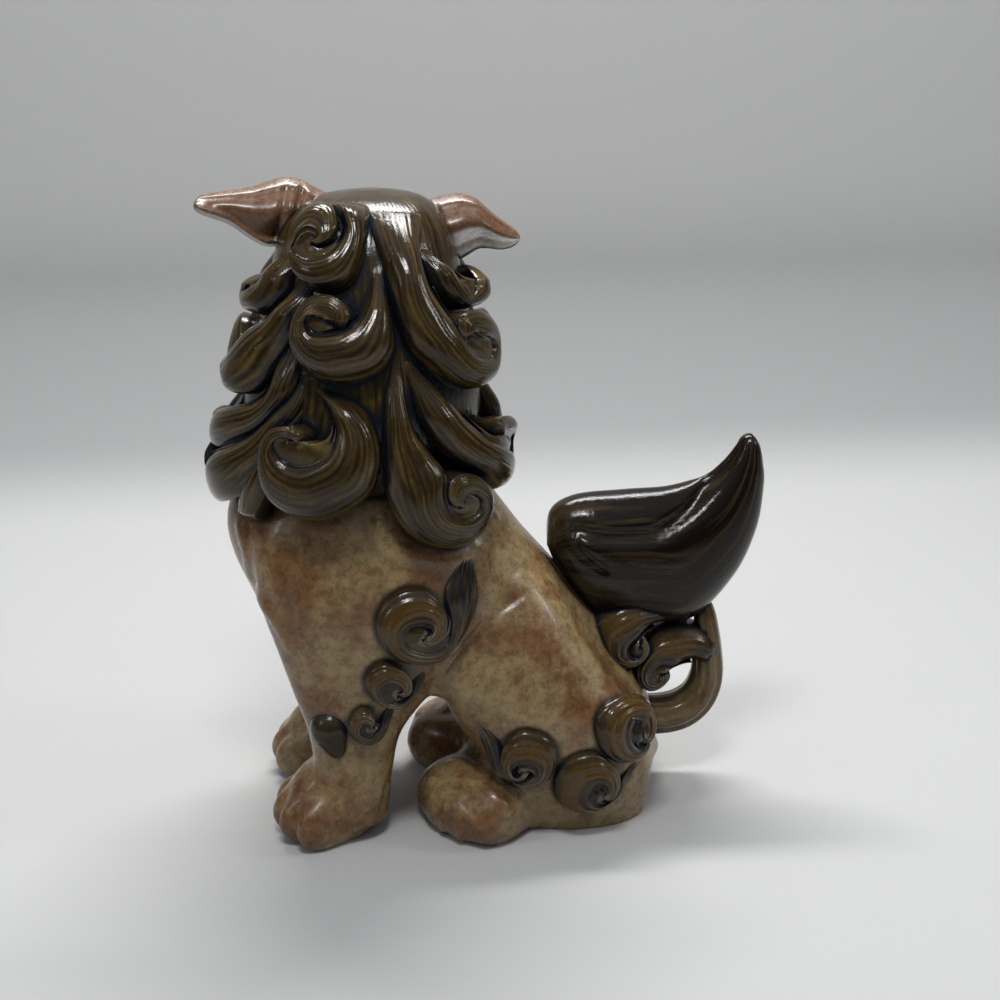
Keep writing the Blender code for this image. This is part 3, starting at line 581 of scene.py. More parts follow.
def largest_island(points: Array, faces: list) -> tuple[Array, list]:
    """Keep the largest connected part of a mesh.

    Args:
        points: The mesh's vertices.
        faces: Its quads.

    Returns:
        The vertices and faces of that part.
    """
    parent = np.arange(len(points))
    quads = np.array(faces)
    while True:
        low = parent[quads].min(1)
        before = parent.copy()
        for k in range(quads.shape[1]):
            np.minimum.at(parent, quads[:, k], low)
        parent = parent[parent]
        if np.array_equal(before, parent):
            break
    names, counts = np.unique(parent, return_counts=True)
    keep = parent == names[np.argmax(counts)]
    renumber = np.cumsum(keep) - 1
    quads = quads[keep[quads].all(1)]
    return points[keep], renumber[quads].tolist()


# Trees of nodes

class Wiring:
    """Adds nodes to a tree and joins them."""

    def __init__(self, tree: Tree) -> None:
        """Work on one tree."""
        self.tree = tree

    def node(self, kind: str, settings: dict | None = None, **inputs: Value) -> bpy.types.Node:
        """Add a node, with its settings and what feeds its inputs, by name or number.

        Args:
            kind: The node's type.
            settings: Its own settings, by name.
            inputs: What feeds an input, by name, or by n and its number.

        Returns:
            The node.
        """
        made = self.tree.nodes.new(kind)
        for key, value in (settings or {}).items():
            setattr(made, key, value)
        for key, value in inputs.items():
            slot = made.inputs[int(key[1:])] if key[0] == "n" and key[1:].isdigit() else \
                made.inputs[key.replace("_", " ")]
            self.feed(value, slot)
        return made

    def feed(self, value: Value, slot: Socket) -> None:
        """Join an output to an input, or set the input's own value.

        Args:
            value: An output, or a plain value.
            slot: The input.
        """
        if isinstance(value, Socket):
            self.tree.links.new(value, slot)
        else:
            slot.default_value = value

    def math(self, operation: str, *values: Value, clamp: bool = False) -> Socket:
        """A math node's output.

        Args:
            operation: What it does.
            values: What feeds it.
            clamp: Whether it stays in 0 to 1.

        Returns:
            The output.
        """
        made = self.tree.nodes.new("ShaderNodeMath")
        made.operation = operation
        made.use_clamp = clamp
        for value, slot in zip(values, made.inputs):
            self.feed(value, slot)
        return made.outputs[0]

    def times(self, first: Value, second: Value, clamp: bool = False) -> Socket:
        """The product of two values."""
        return self.math("MULTIPLY", first, second, clamp=clamp)

    def scaled(self, vector: Value, scale: Value) -> Socket:
        """A vector made longer or shorter."""
        return self.node("ShaderNodeVectorMath", {"operation": "SCALE"}, n0=vector, Scale=scale).outputs[0]

    def attribute(self, name: str) -> Socket:
        """A value that the piece carries, read in a material."""
        return self.node("ShaderNodeAttribute", {"attribute_name": name}).outputs["Fac"]

    def note(self, geometry: Value, name: str, value: Value) -> Socket:
        """A geometry that carries a value at its points."""
        return self.node("GeometryNodeStoreNamedAttribute", {"data_type": "FLOAT", "domain": "POINT"},
                         Geometry=geometry, Name=name, Value=value).outputs[0]

    def glazed(self, geometry: Value, glaze: Value) -> Socket:
        """Real geometry, all of one material."""
        real = self.node("GeometryNodeRealizeInstances", Geometry=geometry).outputs[0]
        return self.node("GeometryNodeSetMaterial", Geometry=real, Material=glaze).outputs[0]

    def vector(self, x: Value, y: Value, z: Value) -> Socket:
        """A vector of three values."""
        return self.node("ShaderNodeCombineXYZ", X=x, Y=y, Z=z).outputs[0]

    def ramp(self, value: Value, low: Value, high: Value, to_low: float = 0.0, to_high: float = 1.0
             ) -> Socket:
        """A value carried smoothly from one range to another.

        Args:
            value: What is carried.
            low: Where the first range starts.
            high: Where it ends.
            to_low: The result at its start.
            to_high: The result at its end.

        Returns:
            The result.
        """
        made = self.node("ShaderNodeMapRange", {"interpolation_type": "SMOOTHSTEP"})
        for slot, item in zip(made.inputs, (value, low, high, to_low, to_high)):
            self.feed(item, slot)
        return made.outputs[0]

    def mix(self, share: Value, first: Value, second: Value, kind: str = "MIX") -> Socket:
        """Two colours mixed by a share.

        Args:
            share: How much of the second.
            first: A colour.
            second: Another.
            kind: How they are blended.

        Returns:
            The mixed colour.
        """
        made = self.tree.nodes.new("ShaderNodeMix")
        made.data_type = "RGBA"
        made.blend_type = kind
        for name, value in (("Factor_Float", share), ("A_Color", first), ("B_Color", second)):
            self.feed(value, next(slot for slot in made.inputs if slot.identifier == name))
        return next(slot for slot in made.outputs if slot.identifier == "Result_Color")

    def noise(self, place: Value, scale: Value, detail: float = 2.0, roughness: float = 0.5,
              distortion: float = 0.0) -> Socket:
        """A noise texture's value."""
        return self.node("ShaderNodeTexNoise", Vector=place, Scale=scale, Detail=detail, Roughness=roughness,
                         Distortion=distortion).outputs[0]


def open_tree(name: str, kind: str, inputs: tuple, outputs: tuple
              ) -> tuple[Wiring, bpy.types.NodeOutputs, bpy.types.NodeInputs]:
    """Start a node group.

    Args:
        name: The group's name.
        kind: The type of tree.
        inputs: Name, socket type and starting value of each input.
        outputs: Name and socket type of each output.

    Returns:
        The wiring, what comes in and what goes out.
    """
    tree = bpy.data.node_groups.new(name, kind)
    for label, socket, start in inputs:
        made = tree.interface.new_socket(name=label, in_out="INPUT", socket_type=socket)
        if start is not None:
            made.default_value = start
    for label, socket in outputs:
        tree.interface.new_socket(name=label, in_out="OUTPUT", socket_type=socket)
    return Wiring(tree), tree.nodes.new("NodeGroupInput").outputs, tree.nodes.new("NodeGroupOutput").inputs


GEOMETRY = "NodeSocketGeometry"
NUMBER = "NodeSocketFloat"


def comb_tree() -> Tree:
    """Strokes of a comb that follow a lock from its root to its eye.

    Returns:
        The tree.
    """
    w, given, result = open_tree(
        "comb_strokes", "GeometryNodeTree",
        (("Lock", GEOMETRY, None), ("Strokes", NUMBER, 7.0), ("Depth", NUMBER, 0.0004),
         ("Wander", NUMBER, 0.15), ("Seed", NUMBER, 1.0), ("Glaze", "NodeSocketMaterial", None)),
        (("Combed", GEOMETRY),))
    across, along, crown = (w.node("GeometryNodeInputNamedAttribute", {"data_type": "FLOAT"}, Name=name).outputs[0]
                            for name in ("across", "along", "crown"))
    place = w.vector(w.times(along, 0.9), w.times(across, 2.5), given["Seed"])
    drift = w.times(w.math("SUBTRACT", w.noise(place, 1.0, 1.0), 0.5), given["Wander"])
    phase = w.times(w.math("ADD", across, drift), given["Strokes"])
    wave = w.math("COSINE", w.times(phase, math.tau))
    sunk = w.math("POWER", w.math("MULTIPLY_ADD", wave, -0.5, 0.5), 1.6)
    strength = w.ramp(w.noise(w.vector(w.times(along, 0.5), w.times(phase, 0.5),
                                       given["Seed"]), 1.0, 1.0), 0.25, 0.6, 0.35, 1.0)
    deep = w.times(w.times(w.times(sunk, strength), crown), given["Depth"])
    normal = w.node("GeometryNodeInputNormal").outputs[0]
    moved = w.node("GeometryNodeSetPosition", Geometry=given["Lock"],
                   Offset=w.scaled(normal, w.times(deep, -1.0))).outputs[0]
    w.feed(w.glazed(w.note(moved, "combed", w.times(sunk, strength)), given["Glaze"]), result[0])
    return w.tree


def gathers_and_painted_shade_tree() -> Tree:
    """Where thick glaze gathers in creases, how closely the figure comes over hollows for painted shade, and where thin
    glaze breaks over ridges.

    Returns:
        The tree.
    """
    w, given, result = open_tree(
        "glaze_gathers", "GeometryNodeTree",
        (("Piece", GEOMETRY, None), ("Figure", "NodeSocketObject", None), ("Crease", NUMBER, 0.0016),
         ("Hollow", NUMBER, 0.0055), ("Ridge", NUMBER, 0.0011), ("Glaze", "NodeSocketMaterial", None)),
        (("Noted", GEOMETRY),))
    position = w.node("GeometryNodeInputPosition").outputs[0]
    normal = w.node("GeometryNodeInputNormal").outputs[0]
    whole = w.node("GeometryNodeObjectInfo", Object=given["Figure"]).outputs["Geometry"]

    def closeness(target: Value, reach: Value, sign: float) -> Socket:
        """How much nearer than the reach a surface is, seen from beside each point.

        Args:
            target: The surface that is felt for.
            reach: How far off it counts, which is also how far beside the point it is felt.
            sign: 1 to feel from outside, -1 from inside.

        Returns:
            0 at the reach or farther, 1 at the surface.
        """
        probe = w.node("ShaderNodeVectorMath", {"operation": "ADD"}, n0=position,
                       n1=w.scaled(normal, w.times(reach, sign))).outputs[0]
        near = w.tree.nodes.new("GeometryNodeProximity")
        near.target_element = "FACES"
        w.feed(target, near.inputs[0])
        w.feed(probe, next(slot for slot in near.inputs if slot.type == "VECTOR"))
        share = w.math("DIVIDE", near.outputs["Distance"], reach)
        return w.math("SUBTRACT", 1.0, share, clamp=True)

    current = given["Piece"]
    # The first measure finds creases where glaze gathers. The second, how closely the figure comes over each point, is
    # used for painted shade in hollows. The third finds ridges where glaze breaks thin.
    for name, target, reach, sign in (("crease", whole, given["Crease"], 1.0),
                                      ("hollow", whole, given["Hollow"], 1.0),
                                      ("ridge", given["Piece"], given["Ridge"], -1.0)):
        even = w.node("GeometryNodeBlurAttribute", {"data_type": "FLOAT"}, Iterations=2)
        w.feed(closeness(target, reach, sign), even.inputs[0])
        current = w.note(current, name, even.outputs[0])
    w.feed(w.glazed(current, given["Glaze"]), result[0])
    return w.tree


def apply_tree(obj: Object, tree: Tree, values: dict) -> None:
    """Run a tree on an object and keep the result as its plain mesh.

    Args:
        obj: The object.
        tree: The geometry tree.
        values: What its inputs are set to, by name.
    """
    run = obj.modifiers.new("shaped", "NODES")
    run.node_group = tree
    for item in tree.interface.items_tree:
        if item.in_out == "INPUT" and item.name in values:
            run[item.identifier] = values[item.name]
    bpy.context.view_layer.update()
    shaped = bpy.data.meshes.new_from_object(obj.evaluated_get(bpy.context.evaluated_depsgraph_get()))
    obj.modifiers.remove(run)
    old = obj.data
    obj.data = shaped
    shaped.name = obj.name
    bpy.data.meshes.remove(old)


# The body

TORSO = level_rows(
    (0, -4, 47, -29, 29), (8, -8, 50, -32, 32), (20, -12, 51, -33, 33), (31, -14, 49, -31, 31),
    (41, -22, 44, -28, 28), (47, -45, 41, -27, 27), (53, -64, 37, -27, 27), (65, -73, 29, -28, 28),
    (77, -78, 19, -30, 30), (90, -83, 8, -31, 31), (101, -84, 0, -30, 30), (111, -79, -7, -26, 26),
    (118, -68, -18, -18, 18))
FORELEG = level_rows(
    (6, -59, -39, 13, 31), (22, -61, -37, 12, 32), (37, -63, -33, 11, 33), (51, -67, -23, 10, 35),
    (65, -71, -17, 9, 36), (79, -75, -12, 8, 36), (92, -76, -9, 8, 34), (104, -73, -11, 8, 30),
    (113, -64, -20, 9, 24), (117, -52, -32, 11, 18))
HAUNCH = level_rows(
    (0, 2, 44, 6, 32), (12, -3, 45, 6, 36), (26, -10, 44, 6, 38), (39, -18, 41, 6, 39), (52, -22, 30, 6, 37),
    (64, -19, 22, 6, 33), (74, -14, 16, 6, 28), (81, -8, 10, 8, 23), (85, -2, 4, 11, 17))


@dataclass(frozen=True)
class Foot:
    """A foot: a rounded lump with a row of toes in front."""

    x: float
    y: float
    length: float
    width: float
    height: float
    turn: float
    toe_half: Triple
    toe_reach: float
    toe_spread: float
    blend: float
    power: float = 2.0

    def shapes(self) -> list[Shape]:
        """The left foot's lump, or slab and heel, and its toes.

        Returns:
            The shapes, to be pressed on in this order.
        """
        heading = math.pi + self.turn
        ahead = np.array([math.cos(heading), math.sin(heading), 0.0])
        aside = np.array([-ahead[1], ahead[0], 0.0])
        middle = np.array([self.x, -self.y, 0.4 * self.height])
        rear = middle - ahead * 0.06 * self.length
        if self.power > 2:
            slab, heel = middle - ahead * 0.03 * self.length, middle - ahead * 0.2 * self.length
            slab[2], heel[2] = 0.3 * self.height, 0.4 * self.height
            made = [Egg(slab, (0.46 * self.length, 0.48 * self.width, 0.36 * self.height), heading, self.power),
                    Egg(heel, (0.32 * self.length, 0.44 * self.width, 0.6 * self.height), heading)]
        else:
            made = [Egg(rear, (0.46 * self.length, 0.47 * self.width, 0.58 * self.height), heading)]
        for index in range(4):
            aim = (index - 1.5) / 1.5
            place = middle + ahead * (self.toe_reach - 0.0035 * aim ** 2) + aside * aim * self.toe_spread / 2
            place[2] = self.toe_half[2] * 0.9
            made.append(Egg(place, self.toe_half, heading + 0.22 * aim))
        return made


FOREPAW = Foot(-0.057, 0.0205, 0.034, 0.027, 0.027, math.radians(16.0), (0.01, 0.0048, 0.0088),
               0.008, 0.018, 0.0035)
HIND_FOOT = Foot(-0.0045, 0.0178, 0.05, 0.0355, 0.029, math.radians(38.0), (0.012, 0.007, 0.0095),
                 0.0118, 0.022, 0.006, 3.4)


@dataclass
class Body:
    """The seated body: torso, forelegs, haunches and feet, pressed together as one clay."""

    step: float = 0.00079
    overlap: float = 0.0018
    dip: float = 0.3
    vent_x: float = 0.022
    vent_radius: float = 0.006
    vent_depth: float = 0.008
    whole: Clay | None = None

    THIN_SPAN = 16
    THIN, WIDE, RISE = 0.001, 0.0022, 0.0015
    GROOVE, SINK = 0.0013, 0.0012
    RIDGES = (
        ((241, 525), (247, 552), (254, 580), (270, 612), (290, 645)),
        ((299, 580), (299, 610), (302, 640)),
        ((484, 556), (482, 590), (470, 622), (452, 655), (440, 690)),
        ((431, 781), (443, 795), (457, 807), (472, 821), (485, 836)),
        ((455, 762), (472, 772), (488, 789), (503, 805), (507, 815)),
        ((446, 807), (443, 820), (442, 832)),
        ((461, 818), (459, 828), (460, 838)),
        ((378, 527), (395, 546), (415, 556), (440, 560), (466, 556), (486, 539), (494, 516)),
        ((655, 745), (640, 768), (625, 790), (605, 808), (588, 816)),
    )
    GROOVES = (
        ((472, 552), (468, 585), (458, 618), (443, 650), (430, 684)),
        ((520, 596), (500, 610), (486, 624), (470, 640), (454, 656), (441, 674), (430, 690)),
        ((466, 739), (478, 752), (494, 767)),
        ((405, 712), (398, 745), (388, 785), (380, 812)),
    )

    def grid(self) -> Clay:
        """The left half of the block that the body is made in.

        Returns:
            The empty block.
        """
        step = self.step * 1.0
        rows = int(math.ceil(0.052 / step))
        return Clay((-0.092, -rows * step, -0.0035), (0.058, 0.0001 * step, 0.123), step)

    def build(self) -> list[Object]:
        """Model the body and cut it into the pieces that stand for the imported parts.

        Returns:
            One closed object for each part.
        """
        parts = {
            "torso": ([Tower(TORSO, 1)], 0.0),
            "foreleg": ([Tower(FORELEG, -1)], 0.005),
            "haunch": ([Tower(HAUNCH, -1)], 0.004),
            "forepaw": (FOREPAW.shapes(), FOREPAW.blend),
            "hind_foot": (HIND_FOOT.shapes(), HIND_FOOT.blend),
        }
        joint = {"forepaw": 0.0026, "hind_foot": 0.0045}
        whole = self.grid()
        alone: dict[str, Clay] = {}
        for name, (shapes, blend) in parts.items():
            own = self.grid()
            for index, shape in enumerate(shapes):
                own.add(shape, joint.get(name, 0.001) if index else SHARP)
            alone[name] = own
            whole.field = smooth_min(whole.field, own.field, max(blend, SHARP))
        whole.carve(Roll([(self.vent_x, 0, -0.01), (self.vent_x, 0, self.vent_depth)], self.vent_radius), 0.001)
        unworked = whole.copy()
        for places in self.RIDGES:
            thin = max(abs(a[0] - b[0]) for a, b in zip(places, places[1:])) < self.THIN_SPAN
            whole.stroke(unworked.traced(places), self.THIN if thin else self.WIDE, self.RISE)
        for places in self.GROOVES:
            whole.stroke(unworked.traced(places), self.GROOVE, -self.SINK)
        whole.field = np.maximum(whole.field, -whole.axes[2].astype(np.float32)[None, None, :])
        self.whole = whole
        made = []
        for name, own in alone.items():
            others = np.minimum.reduce([other.field for key, other in alone.items() if key != name])
            lead = own.field - others
            piece = whole.copy()
            piece.field = np.maximum(whole.field + self.dip * np.maximum(lead, 0), 0.5 * lead - self.overlap)
            if name == "torso":
                made.append(make_object(name, *largest_island(*self.mirrored(piece).surface())))
                continue
            points, faces = largest_island(*piece.surface())
            made.append(make_object(name + "_left", points, faces))
            made.append(make_object(name + "_right", points * (1, -1, 1), [face[::-1] for face in faces]))
        return made

    def mirrored(self, half: Clay) -> Clay:
        """The whole block, from its left half.

        Args:
            half: The left half.

        Returns:
            The whole.
        """
        both = half.copy()
        both.field = np.concatenate([half.field, half.field[:, -2::-1]], axis=1)
        both.axes = list(half.axes)
        both.axes[1] = half.low[1] + half.step * np.arange(both.field.shape[1])
        return both


# Grounds that curls lie on

class Ground:
    """A surface that a curl lies on, with u to the right and v up from its eye."""

    STEP = 0.002

    def points(self, u: Array, v: Array) -> Array:
        """The places u to the right and v up from the eye."""
        raise NotImplementedError

    def normals(self, u: Array, v: Array) -> Array:
        """The outward directions there."""
        right = self.points(u + self.STEP, v) - self.points(u - self.STEP, v)
        return unit(np.cross(right, self.points(u, v + self.STEP) - self.points(u, v - self.STEP)))


class HeadGround(Ground):
    """The mane's cushion, unrolled from one bearing and height: u to the right, v up."""

    STEP = 0.003
    LOOK = (0.4, 0.6, 0.0004)
    LOWEST = 0.088
    HIGHEST = 0.198

    def __init__(self, place: Pair, levels: tuple[Level, ...] | None = None) -> None:
        """Start from a bearing in degrees, with 0 at the back of the head, and a height in mm.

        Args:
            place: The bearing and the height.
            levels: The form's sections, or None for the hair's.
        """
        rows = np.array([(k.height, k.front, k.back, k.near, k.far) for k in levels or HAIR])
        self.fine = smooth_line(rows, 16)
        run = (self.fine[:, 2] - self.fine[:, 1]) / 2
        self.drops = np.concatenate([[0], np.cumsum(np.hypot(np.diff(self.fine[:, 0]), np.diff(run)))])
        self.bearing = math.radians(place[0])
        self.drop = float(np.interp(-place[1] * MM, -self.fine[:, 0], self.drops))
        level = [np.interp(self.drop, self.drops, self.fine[:, k]) for k in range(5)]
        self.radius = (level[2] - level[1] + level[4] - level[3]) / 4

    def points(self, u: Array, v: Array) -> Array:
        """The places u to the right and v up from the start, and straight down below the hair.

        Args:
            u: Distances to the right.
            v: Distances up.

        Returns:
            One point for each.
        """
        drop = self.drop - v
        low, high = self.drops[1], self.drops[-1]
        inside = np.clip(drop, low, high)
        height, front, back, near, far = (np.interp(inside, self.drops, self.fine[:, k]) for k in range(5))
        angle = self.bearing + u / self.radius
        half_x, half_y = (back - front) / 2, (far - near) / 2
        spare = np.maximum(drop - high, 0)
        return np.stack([(front + back) / 2 + half_x * np.sin(angle),
                         (near + far) / 2 - half_y * np.cos(angle), height - spare], -1)

    def offset(self, place: Pair) -> Array:
        """Where another bearing and height lie from the start.

        Args:
            place: The other bearing and height.

        Returns:
            How far right and up.
        """
        turn = math.radians(place[0]) - self.bearing
        turn = (turn + math.pi) % math.tau - math.pi
        return np.array([turn * self.radius,
                         self.drop - np.interp(-place[1] * MM, -self.fine[:, 0], self.drops)])

    def seen(self, across: float, down: float, above: float = 0.0025) -> Array:
        """Where a place of the picture lies from the start, on the cushion or beside it.

        Args:
            across: How far right in the picture.
            down: How far down in it.
            above: How far outside the cushion the hair is met.

        Returns:
            How far right and up it lies.
        """
        points = SIGHT.places(across, down, *self.LOOK)
        points = points[points[:, 2] > self.LOWEST]
        level = [np.interp(-points[:, 2], -self.fine[:, 0], self.fine[:, k]) for k in range(1, 5)]
        x = (points[:, 0] - (level[0] + level[1]) / 2) / ((level[1] - level[0]) / 2 + above)
        y = (points[:, 1] - (level[2] + level[3]) / 2) / ((level[3] - level[2]) / 2 + above)
        out = np.hypot(x, y) + np.clip((points[:, 2] - self.HIGHEST) / 0.01, 0, 9)
        index = first_below(out, 1)
        bearing = math.degrees(math.atan2(x[index], -y[index]))
        return self.offset((bearing, points[index, 2] / MM))


class ClayGround(Ground):
    """A patch of the body's skin round a curl's eye, seen along its own normal."""

    REACH = 0.03
    LOOK = (0.4, 0.62, 0.0004)
    ABOVE = 0.0015
    PITCH = 0.001
    SKIN = 0.0004
    DEEP = -0.022
    UPRIGHT = 0.6

    def __init__(self, clay: Clay, eye: Array, even: int = 3) -> None:
        """Feel the clay's height over the patch and even it out.

        Args:
            clay: The body.
            eye: The middle of the patch.
            even: How often the heights are evened out.
        """
        self.out = unit(clay.slope(eye[None])[0])
        self.out[2] *= self.UPRIGHT
        self.out = unit(self.out)
        self.across = unit(np.cross([0, 0, 1.0], self.out))
        self.upward = np.cross(self.out, self.across)
        self.eye = eye
        count = int(2 * self.REACH / self.PITCH) + 1
        self.count = count
        line = np.linspace(-self.REACH, self.REACH, count)
        u, v = np.meshgrid(line, line, indexing="ij")
        base = eye + u[..., None] * self.across + v[..., None] * self.upward
        height = np.full(u.shape, np.nan)
        for away in np.arange(0.016, self.DEEP, -0.0005):
            level = clay.read((base + away * self.out).reshape(-1, 3)).reshape(u.shape)
            height = np.where(np.isnan(height) & (level < self.SKIN), away + self.SKIN - level, height)
        height = np.where(np.isnan(height), self.DEEP, height)
        for _ in range(even):
            padded = np.pad(height, 1, mode="edge")
            height = sum(padded[a:a + count, b:b + count] for a in range(3) for b in range(3)) / 9
        self.height = height

    def seen(self, across: float, down: float) -> Array:
        """Where a place of the picture lies from the eye.

        Args:
            across: How far right in the picture.
            down: How far down in it.

        Returns:
            How far right and up.
        """
        points = SIGHT.places(across, down, *self.LOOK) - self.eye
        u, v, w = points @ self.across, points @ self.upward, points @ self.out
        near = (np.abs(u) < self.REACH) & (np.abs(v) < self.REACH)
        gap = np.where(near, w - self.lift(u, v) - self.ABOVE, FAR)
        index = first_below(gap, 0)
        return np.array([u[index], v[index]])

    def lift(self, u: Array, v: Array) -> Array:
        """The skin's height over the patch's plane.

        Args:
            u: Distances to the right.
            v: Distances up.

        Returns:
            One height for each.
        """
        place_u = np.clip((u + self.REACH) / self.PITCH, 0, self.count - 1.001)
        place_v = np.clip((v + self.REACH) / self.PITCH, 0, self.count - 1.001)
        a, b = place_u.astype(int), place_v.astype(int)
        s, t = place_u - a, place_v - b
        grid = self.height
        return (grid[a, b] * (1 - s) * (1 - t) + grid[a + 1, b] * s * (1 - t)
                + grid[a, b + 1] * (1 - s) * t + grid[a + 1, b + 1] * s * t)

    def points(self, u: Array, v: Array) -> Array:
        """The places u across and v up from the eye."""
        return self.eye + u[..., None] * self.across + v[..., None] * self.upward \
            + self.lift(u, v)[..., None] * self.out


# Curls

@dataclass(frozen=True)
class Strand:
    """What every lock and curl has: its name, its rise in mm and how it is combed."""

    name: str
    relief: float = 7.0
    strokes: float = 9.0
    depth: float = 0.22
    lift: float = 0.0
    bury: float = 1.0
    soft: float = 0.62
    dome: float = 0.42
    seam: float = 0.2
    knob: float = 0.8
    fill: float = 0.6


Made = list[tuple[Object, Strand | None]]


@dataclass(frozen=True)
class Comma:
    """A lock that the photograph hides: it sweeps from its root into a curl of usual form.

    Its eye is a bearing in degrees, with 0 at the back of the head, and a height in mm,
    and so is its root. The curl starts at an angle in degrees, with 0 to the right and
    90 up, and its radius is in mm.
    """

    strand: Strand
    eye: Pair
    root: Pair
    wind: Wind
    start: float
    radius: float

    FORM = (1.0, 0.97, 1.0, 1.04, 0.88, 0.72, 0.56, 0.45, 0.34, 0.26)
    TURN = 8
    GROOVE = 0.9
    PIT = 1.3
    PER_KNOT = 10
    LEAD = 22

    def spiral(self) -> tuple[Array, Array]:
        """The curl's own rails round its eye, in mm.

        Returns:
            The outer and the inner rail.
        """
        reaches = np.array(self.FORM) * self.radius
        last = len(reaches) - 1
        knots = np.linspace(0, last, last * self.PER_KNOT + 1)
        outer = curve_at(reaches, knots)
        later = knots + self.TURN
        wound = curve_at(reaches, np.minimum(later, last)) + self.GROOVE
        close = np.minimum(self.PIT, 0.45 * outer)
        share = np.clip((later - last) / 1.5 + 0.5, 0, 1)
        inner = np.minimum(wound * (1 - share) + close * share, 0.8 * outer)
        angle = np.radians(self.start) + self.wind.value * knots * math.pi / 4
        circle = np.stack([np.cos(angle), np.sin(angle)], 1)
        return circle * outer[:, None], circle * inner[:, None]

    def rails(self, root: Array) -> tuple[Array, Array]:
        """The outer and inner rails from the root to the eye, in mm.

        Args:
            root: Where the lock's root lies from its eye, in mm.

        Returns:
            The rails, one row for each station.
        """
        rail_out, rail_in = self.spiral()
        middle = (rail_out + rail_in) / 2
        heading, away = unit(middle[1] - middle[0]), middle[0] - root
        pull = 0.55 * length(away)
        t = np.linspace(0, 1, self.LEAD, endpoint=False)[:, None]
        lead = (1 - t) ** 3 * root + 3 * (1 - t) ** 2 * t * (root + unit(away) * pull) \
            + 3 * (1 - t) * t ** 2 * (middle[0] - heading * pull) + t ** 3 * middle[0]
        ahead = np.gradient(np.concatenate([lead, middle[:1]]), axis=0)[:-1]
        side = unit(np.stack([-ahead[:, 1], ahead[:, 0]], 1) * self.wind.value)
        full, narrow = length(rail_out[0] - rail_in[0]), 0.55 * self.radius
        half = (narrow + (full - narrow) * np.sin(t[:, 0] * math.pi / 2) ** 1.2) / 2
        side = unit(side * (1 - t ** 2) + (rail_in[0] - rail_out[0]) / full * t ** 2)
        return (np.concatenate([lead - side * half[:, None], rail_out]),
                np.concatenate([lead + side * half[:, None], rail_in]))


@dataclass(frozen=True)
class Traced:
    """A lock that the photograph shows: its two edges, from root to eye.

    Each row is a place of the picture on the outer edge and one on the inner edge.
    """

    strand: Strand
    edges: tuple[tuple[float, float, float, float], ...]

    PER_ROW = 8

    def rails(self, place: Callable[[float, float], Array]) -> tuple[Array, Array]:
        """The outer and inner rails over a ground, in mm.

        Args:
            place: Gives the ground's distances, in metres, for a place of the picture.

        Returns:
            The rails, one row for each station.
        """
        rows = np.array([[*place(ox, oy), *place(ix, iy)] for ox, oy, ix, iy in self.edges]) / MM
        fine = smooth_line(rows, self.PER_ROW)
        return fine[:, :2], fine[:, 2:]


